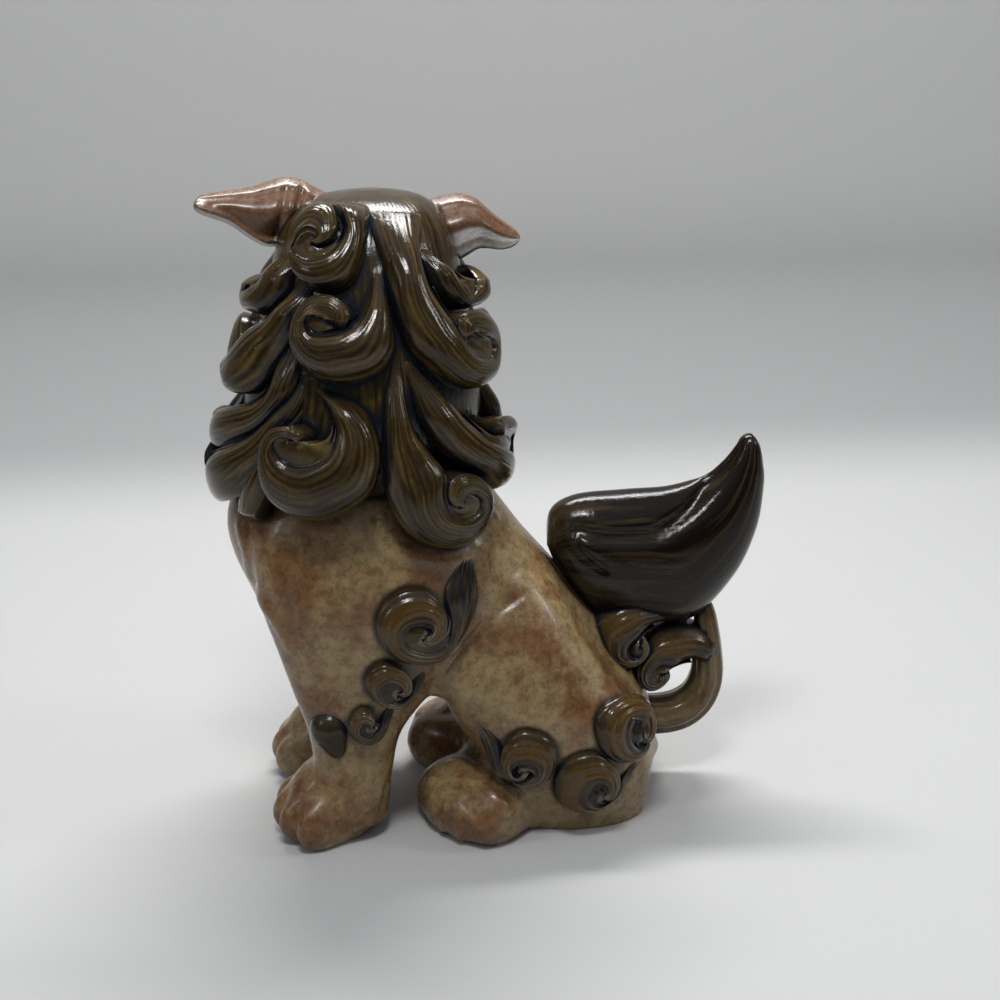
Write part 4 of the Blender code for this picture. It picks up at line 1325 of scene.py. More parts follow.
class Curl:
    """Builds a lock's closed body over a ground, between its two rails."""

    ACROSS = 56
    FILL = 14
    SKIRT = 3.0
    TIP = 6

    def __init__(self, strand: Strand, rails: tuple[Array, Array]) -> None:
        """Round off the end of the rails.

        Args:
            strand: What the lock is like.
            rails: Its outer and inner edge, in mm.
        """
        self.strand = strand
        out, inn = rails
        centre, reach = (out[-1] + inn[-1]) / 2, (out[-1] - inn[-1]) / 2
        onward = unit(out[-1] + inn[-1] - out[-3] - inn[-3])
        self.eye = centre
        turned = math.pi / 2 * np.arange(1, self.TIP + 1)[:, None] / (self.TIP + 0.3)
        shift = centre + onward * length(reach) * np.sin(turned)
        self.out = np.concatenate([out, shift + reach * np.cos(turned)])
        self.inn = np.concatenate([inn, shift - reach * np.cos(turned)])
        middle = (self.out + self.inn) / 2
        self.course = np.concatenate([[0], np.cumsum(length(np.diff(middle, axis=0)))])
        self.width = length(self.inn - self.out)
        self.progress = self.course / self.course[-1]
        late = self.progress > 0.45
        self.radius = float(length(self.out[late] - self.eye).max())
        spoke = middle - self.eye
        angle = np.unwrap(np.arctan2(spoke[:-self.TIP, 1], spoke[:-self.TIP, 0]))
        turns = np.abs(angle - angle[-1]) / math.tau
        self.turns_left = np.concatenate([turns, np.zeros(self.TIP)])

    def sections(self) -> tuple[Array, Array, Array]:
        """The points across each station.

        Returns:
            Places in mm, shares across and heights in mm.
        """
        strand = self.strand
        share = (1 - np.cos(np.linspace(0, math.pi, self.ACROSS))) / 2
        place = self.out[:, None] + (self.inn - self.out)[:, None] * share[None, :, None]
        swell = strand.relief * (1 - np.exp(-self.width / (0.9 * strand.relief)))
        peak = 0.35 * swell + 0.65 * np.maximum.accumulate(swell)
        begin = eased(self.progress, 0, 0.22)
        peak = peak * (0.15 + 0.85 * begin)
        arch = (1 - np.abs(2 * share - 1) ** 2.2) ** strand.soft
        level = np.clip(1 - strand.seam * self.width / np.maximum(peak, 0.1), 0.25, 0.9)
        inner = level * eased(self.progress, 0.15, 0.42)
        inner += (strand.knob - inner) * eased(self.progress, 0.84, 0.96) * (strand.knob > 0)
        outer = level * eased(self.progress, 0.52, 0.72)
        floor = np.where(share[None] < 0.5, outer[:, None], inner[:, None])
        height = peak[:, None] * (floor + (1 - floor) * arch[None])
        inside = (1 - eased(self.turns_left, 0.85, 1.15)) * eased(self.progress, 0.22, 0.45)
        inside *= 1 - eased(self.progress, 0.9, 0.96)
        steps = np.linspace(0, 1, self.FILL + 1)[1:]
        sheet = (self.eye - self.inn)[:, None] * (0.02 + 0.88 * inside)[:, None, None] * steps[None, :, None]
        bed = height[:, -1:] + (strand.fill * peak[:, None] - height[:, -1:]) * eased(steps, 0, 0.6)[None]
        place = np.concatenate([place, self.inn[:, None] + sheet], 1)
        height = np.concatenate([height, np.where(inside[:, None] > 0.01, bed, height[:, -1:])], 1)
        share = np.concatenate([share, np.ones(self.FILL)])
        away = length(place - self.eye)
        late = eased(self.progress, 0.15, 0.45)[:, None]
        height = height + strand.dome * strand.relief * late * np.clip(1 - (away / self.radius) ** 2, 0, 1)
        rounding = 0.6 * self.width[-self.TIP - 1] + 0.6
        last = np.sqrt(np.clip((self.course[-1] - self.course) / rounding, 0.01, 1))[:, None]
        sunk = (strand.bury * (1 - begin))[:, None]
        return place, share, height * last + strand.lift - sunk

    def build(self, ground: Ground, name: str, double: bool = False) -> Object:
        """Make the closed body over a ground.

        Args:
            ground: Gives points and normals for distances from its start.
            name: The object's name.
            double: Whether both sides of the ground are raised.

        Returns:
            The object, with how far across and along each vertex is, how deep the comb may cut there and its share of
            the heart colour.
        """
        place, share, height = self.sections()
        u, v = place[..., 0] * MM, place[..., 1] * MM
        base, out = ground.points(u, v), ground.normals(u, v)
        top = base + out * (height * MM)[..., None]
        soft = np.clip(4 * share * (1 - share), 0, 1) ** 0.35
        high = np.clip(height / max(float(height.max()), 1e-6), 0, 1)
        if double:
            under = (base - out * (height * MM)[..., None])[:, -2:0:-1]
            rings = np.concatenate([top, under], 1)
            shares, softs = np.concatenate([share, share[-2:0:-1]]), np.concatenate([soft, soft[-2:0:-1]])
            highs = np.concatenate([high, high[:, -2:0:-1]], 1)
        else:
            edge_out = base[:, :1] - out[:, :1] * self.SKIRT * MM
            edge_in = base[:, -1:] - out[:, -1:] * self.SKIRT * MM
            rings = np.concatenate([edge_out, top, edge_in], 1)
            shares, softs = np.concatenate([[0], share, [1]]), np.concatenate([[0], soft, [0]])
            highs = np.pad(high, ((0, 0), (1, 1)))
        stations, around = rings.shape[:2]
        points, faces = ring_skin(rings)
        ease = np.clip(self.width / 5.0, 0.15, 1) * np.clip((1 - self.progress) / 0.05, 0, 1)
        along = (self.course / 10.0)[:, None].repeat(around, 1)
        amber = highs ** 2 * np.where(shares < 0.6, 1.0, 0.3)[None] * eased(self.progress, 0.15, 0.35)[:, None]
        return make_object(name, points, faces, {
            "across": with_ends(shares[None].repeat(stations, 0)), "along": with_ends(along),
            "crown": with_ends(softs[None] * ease[:, None]), "heart": with_ends(amber)})


def eased(values: Array, low: float, high: float) -> Array:
    """A smooth step from 0 to 1 between two values."""
    share = np.clip((values - low) / (high - low), 0, 1)
    return share * share * (3 - 2 * share)


def with_ends(values: Array) -> Array:
    """Values for a stack of rings and for the middle point in each end."""
    return np.concatenate([values.ravel(), [values[0].mean(), values[-1].mean()]])


@dataclass
class PlaneGround(Ground):
    """The figure's middle plane, which the curls of the tail stand in, seen from the left."""

    eye: Array
    near: float = 0.007

    def points(self, u: Array, v: Array) -> Array:
        """The places u to the rear and v up from the eye."""
        return np.stack([self.eye[0] + u, 0 * u + self.eye[1], self.eye[2] + v], -1)

    def seen(self, across: float, down: float) -> Array:
        """Where a place of the picture lies from the eye, at the near side of the curl."""
        return SIGHT.on_flank(across, down, self.eye[1] - self.near) - self.eye[[0, 2]]


# The mane

CUSHION = level_rows(
    (198, -42, -34, 0, 6), (196, -54, -23, -10, 14), (190, -63, -16, -19, 23), (178, -67, -12, -26, 29),
    (160, -72, -9, -31, 31), (140, -77, -6, -35, 32), (126, -78, -7, -34, 31), (115, -72, -12, -28, 26),
    (107, -62, -22, -19, 18))

# The locks hang straight down past the cushion's lower edge
HAIR = CUSHION[:6] + level_rows(
    (122, -81, -4, -37, 34), (108, -80, -5, -36.8, 33.5), (92, -79, -6, -36.2, 33))


@dataclass
class Mane:
    """The head's cushion and the combed locks that lie on it."""

    around: int = 320
    down: int = 160

    SEEN = (
        Traced(Strand("lock_crown", 6.5, 7, 0.16, bury=1.4, dome=0.55), (
            (372, 200, 318, 200), (370, 222, 330, 214), (367, 245, 343, 232), (362, 268, 341, 250),
            (350, 288, 331, 262), (330, 297, 318, 266), (311, 293, 308, 262), (299, 278, 303, 255),
            (297, 258, 306, 248), (299, 240, 310, 244), (306, 225, 315, 242), (320, 218, 320, 243),
            (334, 222, 324, 245), (340, 236, 325, 249), (334, 249, 321, 251), (322, 255, 317, 250))),
        Traced(Strand("lock_nape_upper", 8.0, 9, 0.2, lift=0.4, bury=1.2, knob=0.95), (
            (386, 262, 372, 264), (388, 285, 371, 285), (391, 305, 366, 303), (395, 328, 357, 318),
            (396, 350, 345, 329), (386, 370, 334, 335), (365, 382, 325, 336), (342, 387, 319, 334),
            (320, 381, 316, 330), (305, 367, 315, 325), (298, 348, 317, 320), (300, 330, 322, 316),
            (306, 314, 330, 319), (317, 302, 331, 321), (334, 299, 331, 322), (347, 307, 331, 322),
            (352, 319, 331, 322), (347, 331, 331, 322))),
        Traced(Strand("lock_nape_lower", 8.3, 9, 0.2, bury=1.0, dome=0.37), (
            (312, 384, 304, 387), (335, 395, 312, 394), (356, 406, 322, 404), (372, 421, 331, 417),
            (381, 443, 336, 432), (382, 468, 334, 447), (374, 491, 326, 458), (357, 507, 314, 464),
            (333, 520, 303, 465), (308, 519, 293, 461), (286, 506, 287, 455), (273, 487, 284, 448),
            (270, 464, 285, 442), (273, 443, 290, 438), (282, 430, 296, 437), (296, 426, 303, 440),
            (308, 432, 306, 445))),
        Traced(Strand("lock_right_upper", 7.5, 10, 0.2, lift=0.5, bury=1.2, knob=0.95), (
            (366, 212, 430, 214), (376, 245, 426, 240), (387, 276, 423, 262), (391, 302, 427, 286),
            (399, 328, 435, 308), (411, 352, 443, 328), (430, 371, 450, 345), (452, 388, 458, 357),
            (472, 390, 467, 362), (484, 376, 475, 360), (485, 355, 477, 351), (482, 336, 474, 343),
            (473, 320, 464, 338), (459, 313, 459, 335), (446, 318, 457, 334), (443, 332, 457, 334),
            (448, 344, 457, 334))),
        Traced(Strand("lock_right_ear", 5.5, 6, 0.16, lift=0.3, knob=0.4), (
            (424, 248, 436, 250), (430, 270, 447, 264), (438, 289, 455, 277), (449, 303, 461, 289),
            (461, 311, 464, 298), (471, 308, 467, 296), (479, 299, 468, 290), (481, 287, 468, 284),
            (478, 278, 469, 280))),
        Traced(Strand("lock_right_middle", 8.0, 8, 0.2, lift=0.5), (
            (406, 362, 422, 367), (412, 384, 433, 379), (416, 405, 444, 392), (422, 425, 454, 407),
            (434, 443, 465, 423), (449, 459, 477, 439), (468, 472, 489, 448), (488, 488, 500, 450),
            (503, 474, 503, 447), (509, 453, 500, 440), (506, 435, 495, 434), (498, 422, 490, 431),
            (488, 417, 486, 431), (480, 421, 485, 434), (479, 430, 486, 436))),
        Traced(Strand("lock_right_lower", 8.0, 10, 0.2, lift=0.2), (
            (396, 350, 406, 354), (390, 378, 407, 380), (386, 405, 409, 404), (384, 432, 415, 430),
            (383, 460, 427, 450), (386, 490, 437, 468), (396, 517, 435, 488), (414, 538, 439, 504),
            (438, 547, 449, 512), (460, 543, 460, 510), (475, 528, 466, 503), (482, 507, 466, 495),
            (480, 487, 461, 490), (470, 475, 457, 489), (455, 470, 453, 491), (442, 476, 450, 494),
            (438, 490, 451, 498), (442, 502, 454, 501))),
        Traced(Strand("lock_left_ear", 5.5, 5, 0.16), (
            (288, 252, 270, 250), (288, 272, 267, 266), (284, 292, 264, 280), (274, 308, 261, 288),
            (261, 317, 258, 292), (250, 308, 256, 294), (248, 294, 257, 291), (253, 283, 259, 288))),
        Traced(Strand("lock_left_upper", 6.5, 7, 0.18), (
            (314, 284, 292, 276), (305, 308, 283, 298), (293, 332, 269, 318), (279, 356, 255, 334),
            (265, 382, 246, 350), (252, 396, 241, 362), (238, 390, 242, 370), (232, 372, 246, 373),
            (236, 357, 250, 373))),
        Traced(Strand("lock_left_middle", 6.5, 7, 0.18), (
            (300, 348, 272, 342), (296, 375, 272, 365), (288, 400, 270, 388), (270, 424, 258, 403),
            (248, 442, 241, 409), (226, 449, 227, 416), (209, 441, 222, 424), (208, 423, 226, 427),
            (216, 410, 232, 426))),
        Traced(Strand("lock_left_lower", 7.0, 9, 0.18), (
            (305, 380, 287, 378), (298, 408, 279, 402), (287, 436, 262, 426), (270, 466, 242, 446),
            (251, 491, 224, 456), (228, 498, 213, 464), (205, 480, 212, 470), (201, 456, 217, 470),
            (211, 443, 224, 466))),
        Traced(Strand("lock_left_lower.tail", 4.5, 5, 0.18), (
            (303, 405, 292, 402), (292, 436, 272, 433), (278, 466, 254, 466), (269, 492, 245, 492),
            (260, 514, 245, 510))),
    )
    HIDDEN = tuple(Comma(Strand(name, 6.0, 8.0), eye, root, wind, start, radius)
                   for name, eye, root, wind, start, radius in (
        ("lock_cheek_right_upper", (102, 153), (98, 182), Wind.CLOCKWISE, 10, 13),
        ("lock_cheek_right_lower", (108, 122), (86, 146), Wind.ANTICLOCKWISE, 185, 14.5),
        ("lock_cheek_left_upper", (-106, 153), (-100, 182), Wind.ANTICLOCKWISE, 170, 13),
        ("lock_cheek_left_lower", (-114, 118), (-102, 144), Wind.CLOCKWISE, 0, 14.5),
        ("lock_beard_right", (152, 112), (146, 134), Wind.ANTICLOCKWISE, 185, 13.5),
        ("lock_beard_left", (-154, 112), (-146, 134), Wind.CLOCKWISE, -5, 13.5)))

    def cushion(self) -> Object:
        """The rounded head under the locks.

        Returns:
            The piece.
        """
        ground = HeadGround((0, 150), CUSHION)
        drops = np.linspace(ground.drops[0], ground.drops[-1], self.down)
        turns = np.linspace(0, math.tau, self.around, endpoint=False)
        v = (ground.drop - drops)[:, None] + 0 * turns[None]
        u = turns[None] * ground.radius + 0 * drops[:, None]
        rings = ground.points(u, v) - ground.normals(u, v) * 0.0003
        points, faces = ring_skin(rings)
        across = np.tile(turns / math.tau * 10, self.down)
        along = np.repeat(drops / 0.01, self.around)
        crown = np.repeat(np.clip((drops - drops[0]) / 0.02, 0, 1), self.around)
        shape = (self.down, self.around)
        return make_object("head", points, faces, {
            "across": with_ends(across.reshape(shape)), "along": with_ends(along.reshape(shape)),
            "crown": with_ends(crown.reshape(shape))})

    def build(self) -> Made:
        """Model the cushion and the locks.

        Returns:
            Each object with the strand that it was made from.
        """
        made = [(self.cushion(), Strand("head", strokes=9.0, depth=0.12))]
        for lock in self.SEEN:
            ground = HeadGround((0, 150))
            made.append((Curl(lock.strand, lock.rails(ground.seen)).build(ground, lock.strand.name), lock.strand))
        for lock in self.HIDDEN:
            ground = HeadGround(lock.eye)
            rails = lock.rails(ground.offset(lock.root) / MM)
            made.append((Curl(lock.strand, rails).build(ground, lock.strand.name), lock.strand))
        return made


# The flanks

@dataclass
class Flanks:
    """The ribbed curls on the shoulders and haunches, and the ball over each forepaw."""

    body: Body
    ball_radius: float = 0.0062

    TRACED = (
        (Traced(Strand("shoulder_curl_1", 3.9, 4, 0.6, bury=0.6), (
            (471, 551, 466, 553), (476, 568, 457, 572), (479, 588, 447, 590), (477, 608, 446, 606),
            (469, 629, 449, 622), (456, 646, 445, 637), (438, 659, 431, 648), (417, 664, 414, 647),
            (397, 659, 404, 639), (382, 643, 404, 630), (377, 623, 411, 625), (386, 603, 418, 624),
            (404, 591, 425, 625), (424, 590, 429, 628), (439, 601, 428, 631), (444, 618, 425, 632),
            (439, 633, 424, 633), (429, 641, 423, 632), (420, 640, 423, 633))), (425, 630)),
        (Traced(Strand("shoulder_curl_2", 3.9, 4, 0.6, bury=0.6), (
            (432, 672, 424, 672), (425, 684, 414, 684), (416, 696, 407, 694), (402, 706, 397, 700),
            (386, 706, 388, 699), (372, 698, 383, 693), (365, 684, 384, 686), (370, 671, 389, 682),
            (383, 664, 394, 681), (398, 666, 399, 684), (408, 674, 400, 687), (409, 686, 397, 689),
            (402, 694, 395, 688))), (396, 686)),
        (Traced(Strand("shoulder_curl_3", 3.5, 3.5, 0.55, bury=0.6), (
            (397, 708, 390, 706), (391, 722, 382, 718), (384, 735, 377, 728), (372, 745, 369, 736),
            (358, 743, 361, 731), (350, 732, 361, 725), (352, 718, 365, 720), (362, 710, 369, 721),
            (372, 713, 370, 724), (375, 722, 368, 726))), (368, 724)),
        (Traced(Strand("haunch_curl_1", 3.8, 3.5, 0.8, bury=0.6), (
            (468, 720, 482, 728), (479, 740, 496, 741), (488, 757, 503, 752), (498, 772, 506, 765),
            (512, 784, 514, 776), (531, 786, 527, 778), (548, 778, 536, 772), (557, 762, 534, 763),
            (553, 745, 527, 760), (540, 735, 520, 761), (522, 732, 516, 764), (507, 740, 515, 768),
            (502, 753, 518, 771), (505, 767, 522, 771), (514, 775, 524, 768), (524, 774, 523, 766),
            (530, 768, 522, 766))), (522, 762)),
        (Traced(Strand("haunch_curl_2", 3.8, 3.5, 0.9, bury=0.6, dome=0.3), (
            (645, 763, 634, 764), (636, 774, 629, 771), (626, 787, 622, 780), (615, 799, 616, 791),
            (602, 806, 608, 801), (588, 811, 599, 804), (574, 809, 592, 801), (561, 804, 589, 797),
            (554, 794, 590, 793), (554, 783, 592, 790), (558, 771, 594, 787), (568, 762, 596, 785),
            (582, 756, 598, 784), (596, 754, 601, 784), (608, 760, 603, 784), (615, 770, 604, 786),
            (617, 781, 604, 789), (614, 792, 602, 792), (608, 798, 600, 794))), (596, 788)),
        (Traced(Strand("haunch_curl_3", 3.8, 3.5, 0.9, bury=0.6, dome=0.3), (
            (653, 729, 650, 728), (652, 741, 649, 738), (648, 751, 645, 745), (638, 759, 638, 747),
            (626, 763, 634, 744), (614, 761, 631, 740), (604, 752, 629, 735), (599, 740, 629, 730),
            (597, 727, 631, 726), (601, 714, 633, 723), (608, 705, 634, 723), (619, 699, 636, 724),
            (631, 699, 637, 725), (641, 704, 638, 727), (646, 713, 638, 729), (648, 723, 638, 731),
            (648, 732, 638, 734), (645, 740, 638, 736), (641, 742, 638, 738))), (630, 735)),
    )

    def build(self) -> Made:
        """Model the curls on the left flank and mirror them to the right one.

        Returns:
            Each object with the strand that it was made from.
        """
        made = []
        clay = self.body.whole
        for curl, eye_place in self.TRACED:
            ground = ClayGround(clay, clay.seen(*eye_place))
            left = Curl(curl.strand, curl.rails(ground.seen)).build(ground, curl.strand.name + "_left")
            made.append((left, curl.strand))
            made.append((mirrored_object(left, curl.strand.name + "_right"), curl.strand))
        ball = self.ball()
        made.append((ball, None))
        made.append((mirrored_object(ball, "shoulder_ball_right"), None))
        return made

    def ball(self) -> Object:
        """The plain ball at the lower end of the row of shoulder curls.

        Returns:
            The left ball.
        """
        clay = Clay((-0.068, -0.042, 0.03), (-0.044, -0.018, 0.054), 0.0005)
        radius = self.ball_radius
        clay.add(Egg((-0.0562, -0.03, 0.041), (radius, 0.95 * radius, 1.05 * radius)), SHARP)
        clay.add(Egg((-0.0545, -0.0303, 0.0345), (0.5 * radius, 0.55 * radius, 0.6 * radius)), 0.004)
        return make_object("shoulder_ball_left", *clay.surface())


def mirrored_object(obj: Object, name: str) -> Object:
    """A copy of a piece on the other flank.

    Args:
        obj: The piece.
        name: The copy's name.

    Returns:
        The copy, with its faces turned outward.
    """
    mesh = obj.data.copy()
    places = np.zeros(len(mesh.vertices) * 3)
    mesh.vertices.foreach_get("co", places)
    places = places.reshape(-1, 3)
    places[:, 1] = 2 * SHIFT[1] - places[:, 1]
    mesh.vertices.foreach_set("co", places.ravel())
    mesh.flip_normals()
    mesh.name = name
    return placed(name, mesh)


# The tail

@dataclass
class Tail:
    """The flame-shaped plume on the back, two curls and the looped tube."""

    thickness: float = 0.028
    around: int = 96

    PLUME = (
        (15, 85, 18.5, 76, .30), (16, 96, 24, 66, .75), (24, 101, 33, 60, .95), (40, 102, 46, 58, 1.0),
        (54, 102.5, 62, 57, .95), (65, 105.5, 76, 71, .75), (71, 110, 83, 87, .58), (75, 115, 84.8, 102, .44),
        (76.5, 117.5, 84.2, 109, .34), (78.4, 118.8, 83, 114.6, .24), (80, 119.0, 81.6, 117.4, .10))
    CREASES = (
        (((583, 536), (610, 539), (634, 539), (657, 536), (689, 519), (712, 499), (729, 481), (743, 456)),
         0.002, 0.0026),
        (((577, 536), (578, 546), (586, 556), (606, 570)), 0.0013, 0.0012),
        (((543, 553), (562, 574), (583, 607)), 0.0013, 0.0014),
    )
    RING = ((636, 712, 6.4), (658, 713, 6.5), (680, 708, 6.4), (697, 695, 6.0), (706, 675, 5.6), (707, 652, 5.0),
            (706, 628, 4.2), (704, 608, 3.2), (701, 591, 0.8))
    CURLS = (
        (Traced(Strand("tail_curl_upper", 12.0, 4.5, 0.55, lift=1.5, bury=0.0, soft=0.5, dome=0.3, fill=0.8), (
            (692, 622, 690, 632), (678, 612, 676, 627), (662, 603, 661, 626), (643, 598, 648, 627),
            (622, 598, 638, 631), (604, 605, 630, 637), (590, 618, 626, 643), (586, 635, 626, 649),
            (592, 650, 629, 653), (606, 661, 634, 653), (623, 664, 638, 650), (637, 659, 640, 646),
            (646, 648, 639, 642), (645, 637, 637, 641), (638, 632, 635, 643))), (636, 642)),
        (Traced(Strand("tail_curl_lower", 11.0, 3, 0.8, lift=1.0, bury=0.0, soft=0.5, dome=0.25, fill=0.8), (
            (727, 676, 706, 684), (723, 652, 701, 668), (710, 636, 691, 662), (692, 629, 680, 661),
            (674, 629, 670, 663), (656, 635, 660, 662), (643, 648, 652, 668), (636, 664, 648, 675),
            (637, 680, 650, 681), (647, 689, 655, 681), (659, 686, 658, 678), (668, 676, 658, 674),
            (668, 667, 657, 673))), (657, 675)),
    )

    def plume(self) -> Object:
        """The plume as a smooth leaf with creases drawn on both flanks.

        Returns:
            The piece.
        """
        rows = smooth_line([tuple(row) for row in self.PLUME], 14)
        upper = np.stack([rows[:, 0], 0 * rows[:, 0], rows[:, 1]], 1) * MM
        lower = np.stack([rows[:, 2], 0 * rows[:, 2], rows[:, 3]], 1) * MM
        share = np.clip(rows[:, 4], 0.1, 1)
        angle = np.linspace(0, math.tau, self.around, endpoint=False)
        power = 2 / 1.9
        c = np.sign(np.cos(angle)) * np.abs(np.cos(angle)) ** power
        s = np.sign(np.sin(angle)) * np.abs(np.sin(angle)) ** power
        middle, half = (upper + lower) / 2, (upper - lower) / 2
        rings = middle[:, None] + half[:, None] * c[None, :, None]
        rings[..., 1] = share[:, None] * self.thickness / 2 * s[None]
        points, faces = ring_skin(rings)
        for places, width, depth in self.CREASES:
            line = smooth_line([SIGHT.on_flank(*place, -0.013) for place in places], 6)
            away = np.full(len(points), 1.0)
            for a, b in zip(line, line[1:]):
                step = b - a
                t = np.clip((points[:, [0, 2]] - a) @ step / (step @ step), 0, 1)
                away = np.minimum(away, length(points[:, [0, 2]] - a - t[:, None] * step))
            sunk = depth * np.exp(-(away / width) ** 2)
            points[:, 1] -= np.sign(points[:, 1]) * np.minimum(sunk, 0.5 * np.abs(points[:, 1]))
        across = np.concatenate([np.tile((1 - c) / 2, len(rows)), [0.5, 0.5]])
        along = np.concatenate([np.repeat(rows[:, 0] / 10, self.around), [rows[0, 0] / 10, rows[-1, 0] / 10]])
        return make_object("tail_plume", points, faces, {"across": across, "along": along})

    def ring(self) -> Object:
        """The ribbed tube that turns up round the hole, with a leaf tip.

        Returns:
            The piece.
        """
        rows = smooth_line([(*SIGHT.on_flank(x, y, 0.0), radius * MM) for x, y, radius in self.RING], 12)
        path = np.stack([rows[:, 0], 0 * rows[:, 0], rows[:, 1]], 1)
        radius = np.maximum(rows[:, 2], 0.0005)
        ahead = unit(np.gradient(path, axis=0))
        aside = np.stack([-ahead[:, 2], 0 * ahead[:, 0], ahead[:, 0]], 1)
        share = np.linspace(0, 1, len(path))
        tip = np.clip((share - 0.7) / 0.3, 0, 1)
        angle = np.linspace(0, math.tau, 64, endpoint=False)
        ribs = 1 - 0.09 * (0.5 - 0.5 * np.cos(angle * 8)) ** 1.5
        deep = 1.25 - 0.35 * tip
        rings = path[:, None] + aside[:, None] * (radius[:, None] * np.cos(angle) * ribs)[..., None]
        rings[..., 1] += radius[:, None] * deep[:, None] * np.sin(angle) * ribs
        points, faces = ring_skin(rings)
        grid = np.ones((len(path), 64))
        return make_object("tail_ring", points, faces, {
            "across": with_ends(grid * angle / math.tau * 3), "along": with_ends(grid * (share * 7)[:, None]),
            "heart": with_ends(grid * 0.6 * tip[:, None])})

    def build(self) -> Made:
        """Model the plume, the curls and the looped tube.

        Returns:
            Each object with the strand that it was made from, if any.
        """
        made = [(self.plume(), None), (self.ring(), None)]
        for curl, eye in self.CURLS:
            x, z = SIGHT.on_flank(*eye, -0.007)
            ground = PlaneGround(np.array([x, 0.0, z]))
            made.append((Curl(curl.strand, curl.rails(ground.seen)).build(ground, curl.strand.name, True), curl.strand))
        return made


# The ears

@dataclass(frozen=True)
class Ear:
    """A cupped leaf-shaped ear with a thick rolled lower rim.

    Each row of edges is a place of the picture on its upper edge and one on its lower
    edge, from the root to the tip.
    """

    name: str
    edges: tuple[tuple[float, float, float, float], ...]
    plane: float
    thickness: float
    folds: tuple[Pair, ...] = ()
    rim: float = 3.4
    rim_at: float = 2.4
    rim_width: float = 1.4
    # How far the lower part turns under, and where; that part also takes a painted reflection of the floor.
    under: float = 0.0
    under_at: float = -0.2
    across: int = 72
    per_row: int = 10

    def build(self) -> Object:
        """Loft the ear from its root to its tip.

        Returns:
            The piece.
        """
        rows = smooth_line([(*SIGHT.on_flank(a, b, self.plane), *SIGHT.on_flank(c, d, self.plane))
                            for a, b, c, d in self.edges], self.per_row)
        upper, lower = rows[:, :2], rows[:, 2:]
        half = length(upper - lower) / 2
        share = np.linspace(0, 1, len(rows))
        wall = self.thickness * MM / 2 * np.clip(half / half.max(), 0.12, 1) ** 0.6
        level = -np.cos(np.linspace(0, math.pi, self.across))
        edge = np.sqrt(np.clip(1 - level ** 2, 0, 1)) ** 0.8
        from_low = (level[None] + 1) * half[:, None] / MM
        grow = np.clip(half / half.max(), 0, 1)[:, None] ** 0.5
        rim = self.rim * MM * grow * np.exp(-((from_low - self.rim_at) / self.rim_width) ** 2) * edge ** 0.4
        high_rim = 0.25 * np.exp(-((level - 0.86) / 0.12) ** 2)
        belly = 0.45 * np.exp(-((level - 0.25) / 0.5) ** 2) * (1 - share[:, None]) ** 0.6
        outer = (0.9 * level ** 2 - edge * (0.5 + high_rim))[None] * wall[:, None] - belly * wall[:, None] - rim
        turned = np.clip((self.under_at - level) / 0.6, 0, 1)
        outer += (self.under * MM * turned * edge ** 0.5)[None] * grow
        for place, depth in self.folds:
            outer += depth * MM * np.exp(-((share[:, None] - place + 0.03 * level[None]) / 0.03) ** 2) \
                * (1 - np.abs(level[None]) ** 4)
        inner = np.maximum((0.9 * level ** 2 + edge * 0.35)[None] * wall[:, None], outer + 0.0008 * edge[None])
        flat = lower[:, None] + (upper - lower)[:, None] * ((level + 1) / 2)[None, :, None]
        near = np.stack([flat[..., 0], self.plane + outer, flat[..., 1]], -1)
        far = np.stack([flat[..., 0], self.plane + inner, flat[..., 1]], -1)
        rings = np.concatenate([near, far[:, -2:0:-1]], 1)
        points, faces = ring_skin(rings)
        grid = np.tile(np.concatenate([level, level[-2:0:-1]]), (len(rows), 1))
        # The turned-under part takes the glaze's heart colour, which on the ears is a painted reflection of the pale
        # floor.
        return make_object(self.name, points, faces, {
            "across": with_ends(grid), "along": with_ends(grid * 0 + (share * 4)[:, None]),
            "heart": with_ends(np.clip((self.under_at - grid) / 0.12, 0, 1) * (self.under > 0))})


@dataclass
class Ears:
    """The pair of ears."""

    left: Ear = Ear("ear_left", (
        (330, 196, 312, 262), (316, 190, 301, 258), (301, 182, 291, 252), (285, 180, 279, 250),
        (270, 183, 263, 249), (254, 188, 246, 239), (238, 191, 229, 227), (222, 193, 214, 221),
        (208, 195, 203, 217), (199, 197, 196, 213), (194, 202, 193, 208)), 0.002, 12.0, ((0.21, 2.2), (0.31, 1.2)))
    right: Ear = Ear("ear_right", (
        (420, 206, 432, 268), (432, 202, 443, 268), (446, 198, 457, 266), (462, 196, 469, 259),
        (477, 200, 480, 252), (488, 209, 490, 251), (499, 218, 501, 252), (509, 225, 511, 250),
        (516, 230, 517, 246), (520, 235, 520, 241)), 0.002, 12.0, ((0.16, 1.2),), rim=0.0, under=3.6, under_at=0.1)

    def build(self) -> list[Object]:
        """Model both ears."""
        return [self.left.build(), self.right.build()]


# The face

@dataclass(frozen=True)
class Lump:
    """A lump of the face: how far beside the middle, where, its half sizes and its fillet."""

    aside: float
    y: float
    z: float
    half: Triple
    blend: float = SHARP
    carved: bool = False


